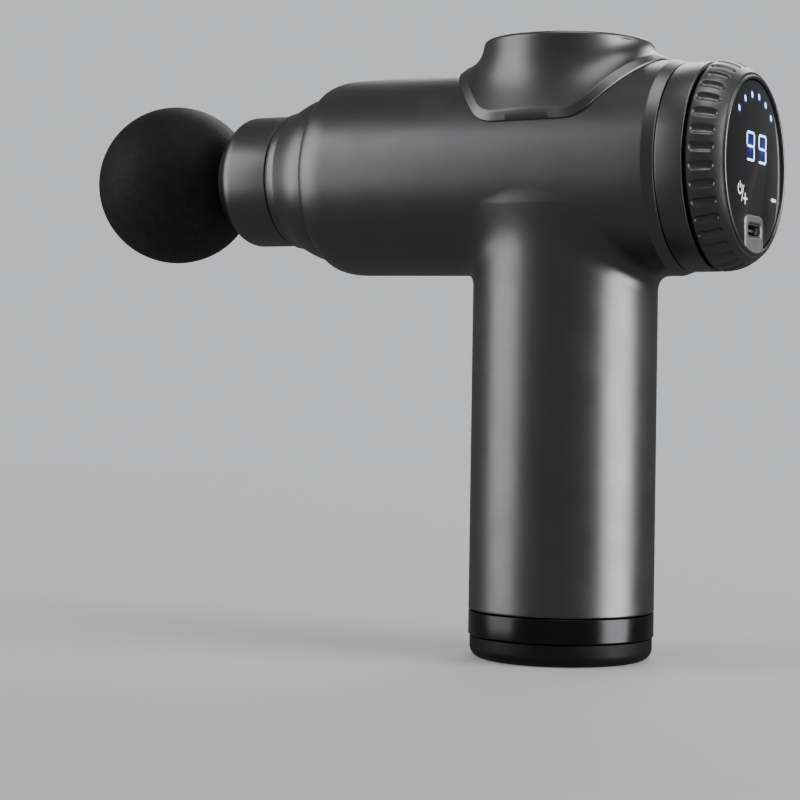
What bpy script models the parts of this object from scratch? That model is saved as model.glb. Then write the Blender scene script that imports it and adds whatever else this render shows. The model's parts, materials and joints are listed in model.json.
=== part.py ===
"""Massage gun: a percussion massager with a round rubber head, a motor under a top cover, and cells below.

The handle stands on Z and the barrel lies along X, head towards -X and display towards +X. The origin is the
middle of the flat base. A motor on the handle's axis turns a crank, and a rod pushes the piston that
holds the head. Sizes are in metres.
"""

import math

import bmesh
import bpy
from mathutils import Matrix, Vector

MM = 0.001
GAP = 0.3 * MM  # between pieces that touch
FIT = 0.1 * MM  # radial running clearance of the piston
EDGE = 0.4 * MM  # bevel of turned edges
CUT = 1.0 * MM  # cutters run this far past what they cut

# Handle and barrel
AXIS_HEIGHT = 126.0 * MM
HANDLE_RADIUS = 24.0 * MM
SHELL_WALL = 2.4 * MM
BARREL_FRONT_X = -67.0 * MM
BARREL_FRONT_RADIUS = 26.5 * MM
BARREL_REAR_X = 34.6 * MM
BARREL_REAR_RADIUS = 27.4 * MM
SHOULDER_LENGTH = 8.0 * MM
SHOULDER_DROP = 2.3 * MM
REAR_BEVEL_LENGTH = 2.8 * MM
REAR_BEVEL_DROP = 1.0 * MM
BLEND_SIZE = 5.0 * MM
HANDLE_TOP_DROP = 5.0 * MM  # the handle's tube ends inside the barrel, this far under its axis
BLEND_END_DROP = 2.0 * MM  # the blend fades out above this level under the axis

# Base
BASE_CAP_HEIGHT = 6.0 * MM
BASE_CAP_ROUND = 3.0 * MM
BASE_CAP_INSET = 0.4 * MM  # the cap is this much narrower than the handle
BASE_CAP_FLOOR = 2.2 * MM
BASE_SPIGOT_WALL = 2.0 * MM
BASE_SPIGOT_REACH = 3.0 * MM  # into the handle's shell
BASE_RING_HEIGHT = 6.2 * MM

# Nose
SLEEVE_LENGTH = 14.2 * MM
SLEEVE_FRONT_RADIUS = 18.8 * MM
SLEEVE_STEP = 1.3 * MM
SLEEVE_LIP_LENGTH = 2.6 * MM  # the straight lip in front of its flare
SLEEVE_SPIGOT_LENGTH = 5.0 * MM
COLLAR_RADIUS = 18.0 * MM
COLLAR_LENGTH = 15.5 * MM
COLLAR_ROUND = 3.1 * MM
COLLAR_ROUND_LENGTH = 4.0 * MM
COLLAR_WALL = 1.6 * MM
COLLAR_SHOULDER = 0.8 * MM  # the step behind which the collar passes inside the sleeve
COLLAR_FLANGE_THICKNESS = 2.4 * MM

# Drive
STROKE = 10.0 * MM
ROD_LENGTH = 36.0 * MM
ROD_THICKNESS = 5.0 * MM
ROD_WALL = 2.0 * MM
ROD_BEARING_RADIUS = 6.0 * MM
CRANK_PIN_RADIUS = 2.5 * MM
CRANK_DISC_RADIUS = 12.0 * MM
CRANK_DISC_THICKNESS = 3.2 * MM
CRANK_CLEARANCE = 0.9 * MM  # above and below the crank disc
WRIST_PIN_RADIUS = 2.0 * MM
WRIST_SLACK = STROKE / 4 + GAP  # radial clearance at the wrist pin, which the straight-line coupling needs
PISTON_RADIUS = 12.9 * MM
PISTON_FRONT_GAP = 0.2 * MM
PISTON_MIDDLE_GAP = 2.5 * MM  # between the rod's eye and the piston's solid middle
SOCKET_SPACE = 2.0 * MM  # behind the head's plug
FORK_WIDTH = 14.0 * MM
FORK_ARM = 3.0 * MM
FORK_CLEARANCE = 0.5 * MM
FORK_REACH = 4.5 * MM  # past the wrist pin
STEM_RADIUS = 9.5 * MM
STEM_LENGTH = 20.0 * MM
FRAME_PLATE_THICKNESS = 2.5 * MM
FRAME_FACE_THICKNESS = 3.4 * MM
FRAME_RIM_CLEARANCE = 0.9 * MM
FRAME_OVERLAP = 0.8 * MM  # of the frame's rails with its face ring
BUSH_SETBACK = 1.2 * MM  # the bush stops this far inside the frame's face ring
RAIL_CLEARANCE = 3.4 * MM
RAIL_THICKNESS = 3.2 * MM
RAIL_DROP = 4.0 * MM  # below the barrel's axis
BEARING_RADIUS = 5.5 * MM
SCREW_RADIUS = 1.0 * MM
SCREW_HEAD_RADIUS = 1.9 * MM
SCREW_HEAD_HEIGHT = 1.2 * MM

# Massage head
BALL_RADIUS = 22.3 * MM
BALL_WALL = 5.0 * MM
FLANGE_PROUD = 2.3 * MM  # the head's flange stands this far out of the collar when the piston is back
FLANGE_RADIUS = 14.3 * MM
FLANGE_SEAT_DEPTH = 4.0 * MM  # the mouth's depth in front of the guide bush
CORE_RADIUS = 8.0 * MM
BARB_RADIUS = 10.0 * MM  # holds the hollow ball from inside
BARB_LENGTH = 3.0 * MM
NECK_LENGTH = 1.0 * MM
BALL_SINK = 0.4 * MM  # the ball's back reaches this far into the neck's length
O_RING_RADIUS = 1.0 * MM
O_RING_SETBACK = 6.0 * MM

# Motor cover
COVER_RADIUS = 22.0 * MM
COVER_TOP = 33.6 * MM  # above the barrel's axis
COVER_OUTLINE_RADIUS = 28.5 * MM
COVER_SKIRT_DROP = 10.7 * MM  # the skirt's straight edge is this far above the barrel's axis
COVER_PROUD = 1.4 * MM
COVER_BEVEL = 2.2 * MM
COVER_BLEND = 7.0 * MM
COVER_WALL = 1.6 * MM
COVER_SEAT_GAP = 0.5 * MM  # the skirt's inside stands this far off the barrel
COVER_ROOF = 2.0 * MM
COVER_DOME = 0.9 * MM
COVER_RIM_ROUND = 1.2 * MM
MOTOR_HOLE_CLEARANCE = 0.4 * MM

# Motor, which fills the cover
MOTOR_SIDE_CLEARANCE = 1.8 * MM
MOTOR_TOP_CLEARANCE = 1.8 * MM
MOTOR_SHAFT_RADIUS = 2.5 * MM
BELL_WALL = 2.9 * MM
BELL_ROOF = 1.6 * MM
AIR_GAP = 0.5 * MM  # between stator and bell
STATOR_TEETH = 9
STATOR_CORE_RADIUS = 8.5 * MM
TOOTH_WIDTH = 3.8 * MM

# Rear end
TRIM_LENGTH = 7.0 * MM
TRIM_WALL = 1.6 * MM
TRIM_SPIGOT_LENGTH = 7.0 * MM
BEZEL_LENGTH = 9.6 * MM
BEZEL_RIM_WIDTH = 1.0 * MM
BEZEL_LEDGE = 1.4 * MM  # under the lens
BEZEL_CURVE = 2.6
SCREW_FLANGE_THICKNESS = 1.8 * MM
SCREW_FLANGE_WIDTH = 4.6 * MM
LENS_RADIUS = 21.2 * MM
LENS_THICKNESS = 1.8 * MM
LENS_RECESS = 0.5 * MM
RIB_COUNT = 36
RIB_START = 0.14  # share of the bezel's length
RIB_LENGTH = 6.0 * MM
RIB_WIDTH = 2.2 * MM
RIB_DEPTH = 0.7 * MM
USB_WIDTH = 9.2 * MM
USB_HEIGHT = 3.3 * MM
USB_DEPTH = 6.6 * MM
USB_WALL = 0.35 * MM
USB_RECESS = 0.4 * MM
USB_TONGUE_WIDTH = 6.6 * MM
USB_TONGUE_THICKNESS = 0.7 * MM
USB_TAB_WIDTH = 13.0 * MM
USB_TAB_TOP = -13.0 * MM  # from the barrel's axis
USB_TAB_EDGE = 1.6 * MM  # of tab above the socket
USB_TAB_DEPTH = 5.3 * MM
DISPLAY_DEPTH = 3.6 * MM  # from the lens to its board
DISPLAY_BOARD_CLEARANCE = 2.4 * MM
BOARD_THICKNESS = 1.6 * MM
DIGITS_WIDTH = 16.0 * MM
DIGITS_LOW = -1.0 * MM  # from the barrel's axis
DIGITS_HIGH = 9.5 * MM
LED_COUNT = 6
LED_SPACING = 16.8  # degrees
LED_CIRCLE = 17.6 * MM
LED_RADIUS = 0.9 * MM
LED_HEIGHT = 1.7 * MM
TOUCH_PAD_RADIUS = 4.0 * MM
TOUCH_PAD_REACH = 11.2 * MM
TOUCH_PAD_LEVEL = -7.5 * MM

# Cells
CELL_RADIUS = 9.1 * MM
CELL_LENGTH = 65.0 * MM
CELL_TIP_RADIUS = 3.0 * MM
CELL_TIP_HEIGHT = 0.2 * MM
CELL_COUNT = 3
HOLDER_THICKNESS = 2.5 * MM
PROTECTION_BOARD_RADIUS = 16.0 * MM
PROTECTION_BOARD_THICKNESS = 1.2 * MM

# Driver board
BOARD_LEVEL = -15.0 * MM  # from the barrel's axis
BOARD_FRONT_X = -14.0 * MM
BOARD_REAR_X = 27.0 * MM
CHIP_SIZE = 7.0 * MM
CHIP_HEIGHT = 1.2 * MM
CAPACITOR_X = 20.5 * MM
CAPACITOR_RADIUS = 4.0 * MM
CAPACITOR_HEIGHT = 7.0 * MM
LEAD_RADIUS = 0.8 * MM
LEAD_END_GAP = 1.2 * MM  # from a lead's middle line to what it ends at

SIDES = 28
MIDDLE_SIDES = 20
SMALL_SIDES = 10

BARREL_AXIS = Vector((0.0, 0.0, AXIS_HEIGHT))
METAL_GREY = (0.17, 0.17, 0.175)
BLACK = (0.02, 0.02, 0.02)


# --- Modelling helpers ----------------------------------------------------------------------------


def clear_scene():
    for obj in list(bpy.data.objects):
        bpy.data.objects.remove(obj, do_unlink=True)


def material(name, colour, roughness, metallic):
    found = bpy.data.materials.get(name)
    if found:
        return found
    made = bpy.data.materials.new(name)
    made.use_nodes = True
    shader = made.node_tree.nodes["Principled BSDF"]
    shader.inputs["Base Color"].default_value = (*colour, 1.0)
    shader.inputs["Roughness"].default_value = roughness
    shader.inputs["Metallic"].default_value = metallic
    return made


def shell_metal():
    return material("shell_metal", METAL_GREY, 0.38, 0.9)


def black_plastic():
    return material("black_plastic", BLACK, 0.55, 0.0)


def steel():
    return material("steel", (0.6, 0.6, 0.62), 0.3, 1.0)


def circuit_green():
    return material("circuit_green", (0.02, 0.12, 0.05), 0.5, 0.0)


def to_object(name, bm, look):
    """A new object from this bmesh, with clean normals and a finish."""
    bmesh.ops.remove_doubles(bm, verts=bm.verts, dist=1e-7)
    bmesh.ops.recalc_face_normals(bm, faces=bm.faces)
    mesh = bpy.data.meshes.new(name)
    bm.to_mesh(mesh)
    bm.free()
    mesh.shade_smooth()
    mesh.set_sharp_from_angle(angle=math.radians(35))
    obj = bpy.data.objects.new(name, mesh)
    obj.data.materials.append(look)
    bpy.context.scene.collection.objects.link(obj)
    return obj


def turned(name, outline, look, axis="X", centre=BARREL_AXIS, sides=SIDES):
    """The solid that this outline of (along, radius) points sweeps about an axis through centre.

    An outline that starts off the axis is closed from its last point to its first.
    """
    bm = bmesh.new()
    along = Vector((1, 0, 0)) if axis == "X" else Vector((0, 0, 1))
    out = Vector((0, 0, 1)) if axis == "X" else Vector((1, 0, 0))
    verts = [bm.verts.new(centre + along * a + out * r) for a, r in outline]
    edges = [bm.edges.new(pair) for pair in zip(verts, verts[1:])]
    if outline[0][1] > 0:
        edges.append(bm.edges.new((verts[-1], verts[0])))
    bmesh.ops.spin(
        bm,
        geom=verts + edges,
        cent=centre,
        axis=along,
        angle=math.tau,
        steps=sides,
        use_merge=True,
        use_duplicate=False,
    )
    return to_object(name, bm, look)


def rod_outline(start, end, radius, bevel=0.0):
    """Outline of a solid cylinder with bevelled ends."""
    if bevel == 0.0:
        return [(start, 0.0), (start, radius), (end, radius), (end, 0.0)]
    return [
        (start, 0.0),
        (start, radius - bevel),
        (start + bevel, radius),
        (end - bevel, radius),
        (end, radius - bevel),
        (end, 0.0),
    ]


def ring_outline(start, end, inner, outer):
    return [(start, inner), (start, outer), (end, outer), (end, inner)]


def arc(centre, radii, first, last, steps):
    """Points on an ellipse's arc in the (along, radius) plane, angles in degrees from +along."""
    found = []
    for step in range(steps + 1):
        angle = math.radians(first + (last - first) * step / steps)
        found.append((centre[0] + radii[0] * math.cos(angle), centre[1] + radii[1] * math.sin(angle)))
    return found


def block(name, low, high, look, bevel=0.0):
    bm = bmesh.new()
    bmesh.ops.create_cube(bm, size=1.0)
    low, high = Vector(low), Vector(high)
    bmesh.ops.scale(bm, vec=high - low, verts=bm.verts)
    bmesh.ops.translate(bm, vec=(low + high) / 2, verts=bm.verts)
    if bevel:
        bmesh.ops.bevel(bm, geom=bm.edges, offset=bevel, segments=1, affect="EDGES")
    return to_object(name, bm, look)


def extruded(name, outline, start, end, look):
    """A flat outline of (x, y) points raised from z = start to z = end."""
    bm = bmesh.new()
    face = bm.faces.new([bm.verts.new((x, y, start)) for x, y in outline])
    lifted = bmesh.ops.extrude_face_region(bm, geom=[face])
    top = [item for item in lifted["geom"] if isinstance(item, bmesh.types.BMVert)]
    bmesh.ops.translate(bm, vec=(0, 0, end - start), verts=top)
    return to_object(name, bm, look)


def combine(obj, others, operation):
    """Cuts the others from obj, or joins them to it, and removes them."""
    for other in others:
        modifier = obj.modifiers.new(operation.lower(), "BOOLEAN")
        modifier.operation = operation
        modifier.solver = "EXACT"
        modifier.object = other
    graph = bpy.context.evaluated_depsgraph_get()
    mesh = bpy.data.meshes.new_from_object(obj.evaluated_get(graph))
    obj.modifiers.clear()
    obj.data = mesh
    mesh.shade_smooth()
    mesh.set_sharp_from_angle(angle=math.radians(35))
    for other in others:
        bpy.data.objects.remove(other, do_unlink=True)
    return obj


def cut(obj, *others):
    return combine(obj, others, "DIFFERENCE")


def join(obj, *others):
    return combine(obj, others, "UNION")


def joint_empty(name, place):
    empty = bpy.data.objects.new(name, None)
    empty.location = place
    bpy.context.scene.collection.objects.link(empty)
    return empty


def attach(empty, *pieces):
    """Parents the pieces to the empty on their joint's axis and leaves them where they are."""
    bpy.context.view_layer.update()
    for piece in pieces:
        piece.parent = empty
        piece.matrix_parent_inverse = empty.matrix_world.inverted()


def tube_along(name, points, radius, look):
    """A lead along a smooth curve through the points."""
    curve = bpy.data.curves.new(name, "CURVE")
    curve.dimensions = "3D"
    curve.bevel_depth = radius
    curve.bevel_resolution = 2
    curve.use_fill_caps = True
    spline = curve.splines.new("POLY")
    route = smooth_route([Vector(point) for point in points], 5)
    spline.points.add(len(route) - 1)
    for point, place in zip(spline.points, route):
        point.co = (*place, 1.0)
    obj = bpy.data.objects.new(name, curve)
    obj.data.materials.append(look)
    bpy.context.scene.collection.objects.link(obj)
    return obj


def smooth_route(points, steps):
    """Catmull-Rom points through the given ones."""
    padded = [2 * points[0] - points[1], *points, 2 * points[-1] - points[-2]]
    route = []
    for before, start, end, after in zip(padded, padded[1:], padded[2:], padded[3:]):
        for step in range(steps):
            t = step / steps
            square = 2 * before - 5 * start + 4 * end - after
            cube = 3 * start - before - 3 * end + after
            route.append(start + ((end - before) * t + square * t**2 + cube * t**3) / 2)
    route.append(points[-1])
    return route


# --- Housing --------------------------------------------------------------------------------------


def barrel_radius(x):
    """The barrel's outer radius between its shoulder and its rear bevel, where it widens a little."""
    start = BARREL_FRONT_X + SHOULDER_LENGTH
    share = (x - start) / (BARREL_REAR_X - REAR_BEVEL_LENGTH - start)
    return BARREL_FRONT_RADIUS + (BARREL_REAR_RADIUS - BARREL_FRONT_RADIUS) * share


def barrel_outline(inset, overrun):
    """Closed outline of the barrel, inset by a wall and run past both ends."""
    shoulder = arc(
        (BARREL_FRONT_X + SHOULDER_LENGTH, BARREL_FRONT_RADIUS - SHOULDER_DROP - inset),
        (SHOULDER_LENGTH, SHOULDER_DROP),
        180,
        90,
        4,
    )
    bevel_x = BARREL_REAR_X - REAR_BEVEL_LENGTH
    first = BARREL_FRONT_X + SHOULDER_LENGTH
    count = 14
    straight = [first + (bevel_x - first) * step / count for step in range(1, count + 1)]
    body = [(x, barrel_radius(x) - inset) for x in straight]
    end = (BARREL_REAR_X, BARREL_REAR_RADIUS - REAR_BEVEL_DROP - inset)
    outline = [*shoulder, *body, end]
    outline.insert(0, (BARREL_FRONT_X - overrun, outline[0][1]))
    outline.append((BARREL_REAR_X + overrun, end[1]))
    if overrun == 0.0:
        outline = outline[1:-1]
    return [(outline[0][0], 0.0), *outline, (outline[-1][0], 0.0)]


def handle_bottom():
    return BASE_CAP_HEIGHT + BASE_RING_HEIGHT + GAP


def handle_outline(inset, overrun):
    radius = HANDLE_RADIUS - inset
    top = AXIS_HEIGHT - HANDLE_TOP_DROP
    fine_from = AXIS_HEIGHT - BARREL_REAR_RADIUS - 2 * BLEND_SIZE
    count = 9
    levels = [fine_from + (top - fine_from) * step / count for step in range(count + 1)]
    bottom = handle_bottom() - overrun
    return [(bottom, 0.0), (bottom, radius), *[(z, radius) for z in levels], (top, 0.0)]


def smooth_least(a, b, size):
    """The lesser of two distances, rounded where they are within size of each other."""
    near = max(size - abs(a - b), 0.0) / size
    return min(a, b) - near * near * size / 4


def housing_distance(point):
    """About how far a point is outside the housing's blended outer surface."""
    x, y, z = point[0], point[1], point[2] - AXIS_HEIGHT
    from_barrel = math.hypot(y, z) - barrel_radius(x)
    from_handle = max(math.hypot(x, y) - HANDLE_RADIUS, z + HANDLE_TOP_DROP)
    fade = min(max((-z - BLEND_END_DROP) / (4 * BLEND_END_DROP), 0.02), 1.0)
    return smooth_least(from_barrel, from_handle, BLEND_SIZE * fade)


def slide_to_surface(point, distance, level):
    """Moves a point along the distance's slope until it reads level."""
    step = 0.01 * MM
    for _ in range(6):
        here = distance(point) - level
        slope = Vector(
            [
                (distance(point + Vector(unit) * step) - distance(point - Vector(unit) * step)) / (2 * step)
                for unit in ((1, 0, 0), (0, 1, 0), (0, 0, 1))
            ]
        )
        point = point - slope * (here / max(slope.length_squared, 0.2))
    return point


def blended_tee(name, inset, overrun):
    """Barrel and handle as one solid, with the corner between them rounded."""
    look = shell_metal()
    tee = turned(name, barrel_outline(inset, overrun), look)
    handle = turned("handle_core", handle_outline(inset, overrun), look, "Z", Vector())
    join(tee, handle)
    for vertex in tee.data.vertices:
        x, z = vertex.co.x, vertex.co.z - AXIS_HEIGHT
        near_handle = abs(x) < HANDLE_RADIUS + BLEND_SIZE
        near_level = -BARREL_REAR_RADIUS - BLEND_SIZE < z < -BLEND_END_DROP
        if near_handle and near_level and BARREL_FRONT_X < x < BARREL_REAR_X - REAR_BEVEL_LENGTH:
            vertex.co = slide_to_surface(vertex.co.copy(), housing_distance, -inset)
    return tee


def make_main_housing():
    housing = blended_tee("main_housing", 0.0, 0.0)
    hollow = blended_tee("hollow", SHELL_WALL, 6 * CUT)
    hole = rod_outline(BARREL_REAR_RADIUS / 4, 2 * BARREL_REAR_RADIUS, motor_hole_radius())
    return cut(housing, hollow, turned("motor_hole", hole, shell_metal(), "Z"))


def motor_hole_radius():
    return COVER_RADIUS - COVER_WALL + MOTOR_HOLE_CLEARANCE


# --- Motor cover ----------------------------------------------------------------------------------


def cover_distance(point):
    """About how far a point is outside the cover's flared skin, measured from the barrel's axis."""
    from_wall = math.hypot(point[0], point[1]) - COVER_RADIUS
    from_skirt = math.hypot(point[1], point[2]) - barrel_radius(point[0]) - COVER_PROUD
    return smooth_least(from_wall, from_skirt, COVER_BLEND)


def cover_edge(azimuth):
    """The skirt's edge, unrolled from the barrel: (x, arc length from the top line)."""
    radius = barrel_radius(0.0)
    side = math.sqrt(radius**2 - COVER_SKIRT_DROP**2)
    across = abs(math.sin(azimuth))
    reach = COVER_OUTLINE_RADIUS
    if across > 1e-6:
        reach = smooth_least(reach, side / across, 2 * MM)
    x = reach * math.cos(azimuth)
    y = min(reach * across, side)
    return x, math.copysign(radius * math.asin(y / radius), math.sin(azimuth))


def on_barrel(x, arc_length, height):
    """A point this high above the barrel's skin, relative to the barrel's axis."""
    angle = arc_length / barrel_radius(0.0)
    radius = barrel_radius(x) + height
    return Vector((x, radius * math.sin(angle), radius * math.cos(angle)))


def cover_section(azimuth):
    """Points down the cover's skin, round its edge and back up its inside, for one direction about Z."""
    out = Vector((math.cos(azimuth), math.sin(azimuth), 0.0))
    up = Vector((0.0, 0.0, 1.0))
    section = [out * (COVER_RADIUS * 0.6) + up * (COVER_TOP + COVER_DOME * 2 / 3)]
    for angle in (90, 45, 0):
        turn = math.radians(angle)
        radius = COVER_RADIUS - COVER_RIM_ROUND * (1 - math.cos(turn))
        section.append(out * radius + up * (COVER_TOP - COVER_RIM_ROUND * (1 - math.sin(turn))))
    wall_foot = section[-1]
    x, arc_length = cover_edge(azimuth)
    inset = 1.0 - COVER_BEVEL / math.hypot(x, arc_length)
    bevel_top = on_barrel(x * inset, arc_length * inset, COVER_PROUD)
    rows = 7
    for row in range(1, rows + 1):
        start = wall_foot.lerp(bevel_top, row / rows)
        section.append(slide_to_surface(start, cover_distance, 0.0))
    section.append(on_barrel(x, arc_length, COVER_SEAT_GAP + GAP))
    bore = COVER_RADIUS - COVER_WALL
    bore_arc = barrel_radius(0.0) * math.asin(bore * math.sin(azimuth) / barrel_radius(0.0))
    seats = 4
    for seat in range(seats + 1):
        share = seat / seats
        foot = (x + (bore * math.cos(azimuth) - x) * share, arc_length + (bore_arc - arc_length) * share)
        section.append(on_barrel(*foot, COVER_SEAT_GAP))
    section.append(out * bore + up * (COVER_TOP - COVER_ROOF))
    return section


def make_motor_cover():
    bm = bmesh.new()
    rings = []
    for side in range(SIDES):
        section = cover_section(math.tau * (side + 0.5) / SIDES)
        rings.append([bm.verts.new(BARREL_AXIS + point) for point in section])
    for ring, following in zip(rings, rings[1:] + rings[:1]):
        for a, b, c, d in zip(ring, ring[1:], following[1:], following):
            bm.faces.new((a, b, c, d))
    for row, height in ((0, COVER_TOP + COVER_DOME), (-1, COVER_TOP - COVER_ROOF)):
        pole = bm.verts.new(BARREL_AXIS + Vector((0.0, 0.0, height)))
        for ring, following in zip(rings, rings[1:] + rings[:1]):
            bm.faces.new((pole, ring[row], following[row]))
    return to_object("motor_cover", bm, shell_metal())


# --- Nose -----------------------------------------------------------------------------------------


def sleeve_rear_x():
    return BARREL_FRONT_X - GAP


def sleeve_front_x():
    return sleeve_rear_x() - SLEEVE_LENGTH


def collar_front_x():
    return sleeve_front_x() - COLLAR_LENGTH


def sleeve_bore():
    return COLLAR_RADIUS - COLLAR_SHOULDER + GAP


def spigot_radius():
    """Outer radius of what fits inside the barrel's front edge."""
    return BARREL_FRONT_RADIUS - SHOULDER_DROP - SHELL_WALL - GAP


def make_front_sleeve():
    front, rear = sleeve_front_x(), sleeve_rear_x()
    rear_radius = BARREL_FRONT_RADIUS - SHOULDER_DROP - SLEEVE_STEP
    flare_x = front + SLEEVE_LIP_LENGTH
    outline = [
        (front, SLEEVE_FRONT_RADIUS - 0.8 * MM),
        (front + 1.2 * MM, SLEEVE_FRONT_RADIUS),
        (flare_x - 1.0 * MM, SLEEVE_FRONT_RADIUS),
    ]
    steps = 6
    for step in range(steps + 1):
        share = step / steps
        rise = math.sin(share * math.pi / 2) ** 1.1
        x = flare_x + (rear - flare_x) * share
        outline.append((x, SLEEVE_FRONT_RADIUS + (rear_radius - SLEEVE_FRONT_RADIUS) * rise))
    spigot_end = rear + SLEEVE_SPIGOT_LENGTH
    outline += [(rear, spigot_radius()), (spigot_end, spigot_radius()), (spigot_end, sleeve_bore())]
    outline.append((front, sleeve_bore()))
    return turned("front_sleeve", outline, shell_metal())


def flange_x():
    """Rear face of the front sleeve's spigot, where the collar's flange is clamped."""
    return sleeve_rear_x() + SLEEVE_SPIGOT_LENGTH + GAP


def bush_outer():
    return COLLAR_RADIUS - COLLAR_WALL - GAP


def make_nose_collar():
    """The nose tube: rounded at its mouth, stepped to pass inside the sleeve, with a flange at the rear."""
    front = collar_front_x()
    mouth = FLANGE_RADIUS + GAP
    inside = COLLAR_RADIUS - COLLAR_SHOULDER
    centre = (front + COLLAR_ROUND_LENGTH, COLLAR_RADIUS - COLLAR_ROUND)
    rounding = arc(centre, (COLLAR_ROUND_LENGTH, COLLAR_ROUND), 180, 90, 5)
    rounding[0] = (front, max(rounding[0][1], mouth + GAP))
    seat = flange_x()
    outline = [
        *rounding,
        (sleeve_front_x() - GAP, COLLAR_RADIUS),
        (sleeve_front_x() - GAP, inside),
        (seat, inside),
        (seat, spigot_radius()),
        (seat + COLLAR_FLANGE_THICKNESS, spigot_radius()),
        (seat + COLLAR_FLANGE_THICKNESS, bush_outer() + GAP),
        (bush_front_x() - GAP, bush_outer() + GAP),
        (bush_front_x() - GAP, mouth),
        (front, mouth),
    ]
    return turned("nose_collar", outline, shell_metal())


def bush_front_x():
    return collar_front_x() + FLANGE_SEAT_DEPTH


def make_guide_bush():
    end = frame_face_x() + FRAME_FACE_THICKNESS - BUSH_SETBACK
    outline = ring_outline(bush_front_x(), end, PISTON_RADIUS + FIT, bush_outer())
    return turned("guide_bush", outline, material("bush_grey", (0.32, 0.32, 0.33), 0.5, 0.0))


# --- Drive ----------------------------------------------------------------------------------------


def frame_face_x():
    return flange_x() + COLLAR_FLANGE_THICKNESS + GAP


def disc_top():
    """Top of the crank disc above the barrel's axis."""
    return ROD_THICKNESS / 2 + CRANK_CLEARANCE + CRANK_DISC_THICKNESS


def plate_low():
    return disc_top() + CRANK_CLEARANCE


def plate_high():
    return plate_low() + FRAME_PLATE_THICKNESS


def make_mechanism_frame():
    """Cast frame: a face ring behind the nose, two rails and the plate that carries the motor."""
    look = material("cast_alloy", (0.55, 0.55, 0.56), 0.5, 1.0)
    face = frame_face_x()
    rim = BARREL_FRONT_RADIUS - SHELL_WALL - FRAME_RIM_CLEARANCE
    frame = turned(
        "mechanism_frame",
        ring_outline(face, face + FRAME_FACE_THICKNESS, bush_outer() + GAP, rim),
        look,
    )
    plate_radius = motor_hole_radius() - FRAME_RIM_CLEARANCE
    rail_inner = CRANK_DISC_RADIUS + RAIL_CLEARANCE
    plate = turned("plate", rod_outline(plate_low(), plate_high(), plate_radius), look, "Z")
    rails = []
    for side in (-1, 1):
        near, far = sorted((side * rail_inner, side * (rail_inner + RAIL_THICKNESS)))
        low = (face + FRAME_FACE_THICKNESS - FRAME_OVERLAP, near, AXIS_HEIGHT - RAIL_DROP)
        high = (-RAIL_DROP, far, AXIS_HEIGHT + plate_high() - EDGE)
        rails.append(block("rail", low, high, look))
    join(frame, plate, *rails)
    seat = rod_outline(plate_low() - CUT, plate_high() + CUT, BEARING_RADIUS + GAP)
    hole = turned("hole", seat, look, "Z", sides=MIDDLE_SIDES)
    cut(frame, hole)
    drills = [screw_hole(place) for place in frame_screw_places()]
    return cut(frame, *drills)


def frame_screw_places():
    reach = (bush_outer() + spigot_radius()) / 2 + EDGE
    turns = [math.radians(angle) for angle in (45, 135, 225, 315)]
    return [(reach * math.cos(turn), reach * math.sin(turn)) for turn in turns]


def screw_hole(place):
    centre = BARREL_AXIS + Vector((0.0, place[0], place[1]))
    start, end = flange_x() - 3 * CUT, frame_face_x() + FRAME_FACE_THICKNESS + 3 * CUT
    return turned("drill", rod_outline(start, end, SCREW_RADIUS + GAP), steel(), "X", centre, SMALL_SIDES)


def make_frame_screws():
    """Four screws from inside the barrel, through the frame's face into the collar's flange."""
    head = frame_face_x() + FRAME_FACE_THICKNESS + GAP
    for number, place in enumerate(frame_screw_places(), 1):
        centre = BARREL_AXIS + Vector((0.0, place[0], place[1]))
        outline = screw_outline(flange_x() + EDGE, head, SCREW_HEAD_HEIGHT)
        turned(f"frame_screw_{number}", outline, steel(), "X", centre, SMALL_SIDES)


def screw_outline(tip, seat, head_height):
    """A screw from its tip to the underside of its head at seat, and the head beyond."""
    top = seat + head_height
    return [
        (tip, 0.0),
        (tip, SCREW_RADIUS),
        (seat, SCREW_RADIUS),
        (seat, SCREW_HEAD_RADIUS),
        (top, SCREW_HEAD_RADIUS - CUT / 5),
        (top, 0.0),
    ]


def bearing(name, low, high, inner, outer, centre=BARREL_AXIS):
    """A ball bearing's outline: two rings with a shallow shield groove between them."""
    step = (outer - inner) * 0.3
    shield = low + GAP
    outline = [
        (low, inner),
        (low, inner + step),
        (shield, inner + step),
        (shield, outer - step),
        (low, outer - step),
        (low, outer),
        (high, outer),
        (high, inner),
    ]
    return turned(name, outline, steel(), "Z", centre, SMALL_SIDES)


def motor_radius():
    return COVER_RADIUS - COVER_WALL - MOTOR_SIDE_CLEARANCE


def motor_top():
    """Top of the motor's bell above the barrel's axis."""
    return COVER_TOP - COVER_ROOF - MOTOR_TOP_CLEARANCE


def bearing_tube_radius():
    return 2 * MOTOR_SHAFT_RADIUS


def make_stator():
    """Windings on nine teeth round a tube for the upper bearing, standing on the frame's plate."""
    base, top = plate_high() + GAP, motor_top() - BELL_ROOF
    radius = motor_radius() - BELL_WALL - AIR_GAP
    copper = material("stator_copper", (0.55, 0.25, 0.1), 0.45, 0.8)
    tube = bearing_tube_radius()
    stator = turned("motor_stator", ring_outline(base, top - 2.6 * MM, tube, STATOR_CORE_RADIUS), copper, "Z")
    arms = []
    for tooth in range(STATOR_TEETH):
        low = (STATOR_CORE_RADIUS - CUT, -TOOTH_WIDTH / 2, AXIS_HEIGHT + base + 3.0 * MM)
        high = (radius, TOOTH_WIDTH / 2, AXIS_HEIGHT + top - 3.2 * MM)
        arm = block("arm", low, high, copper)
        arm.data.transform(Matrix.Rotation(math.tau * tooth / STATOR_TEETH, 4, "Z"))
        arms.append(arm)
    join(stator, *arms)
    return join(stator, turned("foot", ring_outline(base, base + 1.6 * MM, tube + EDGE, radius), copper, "Z"))


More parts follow.
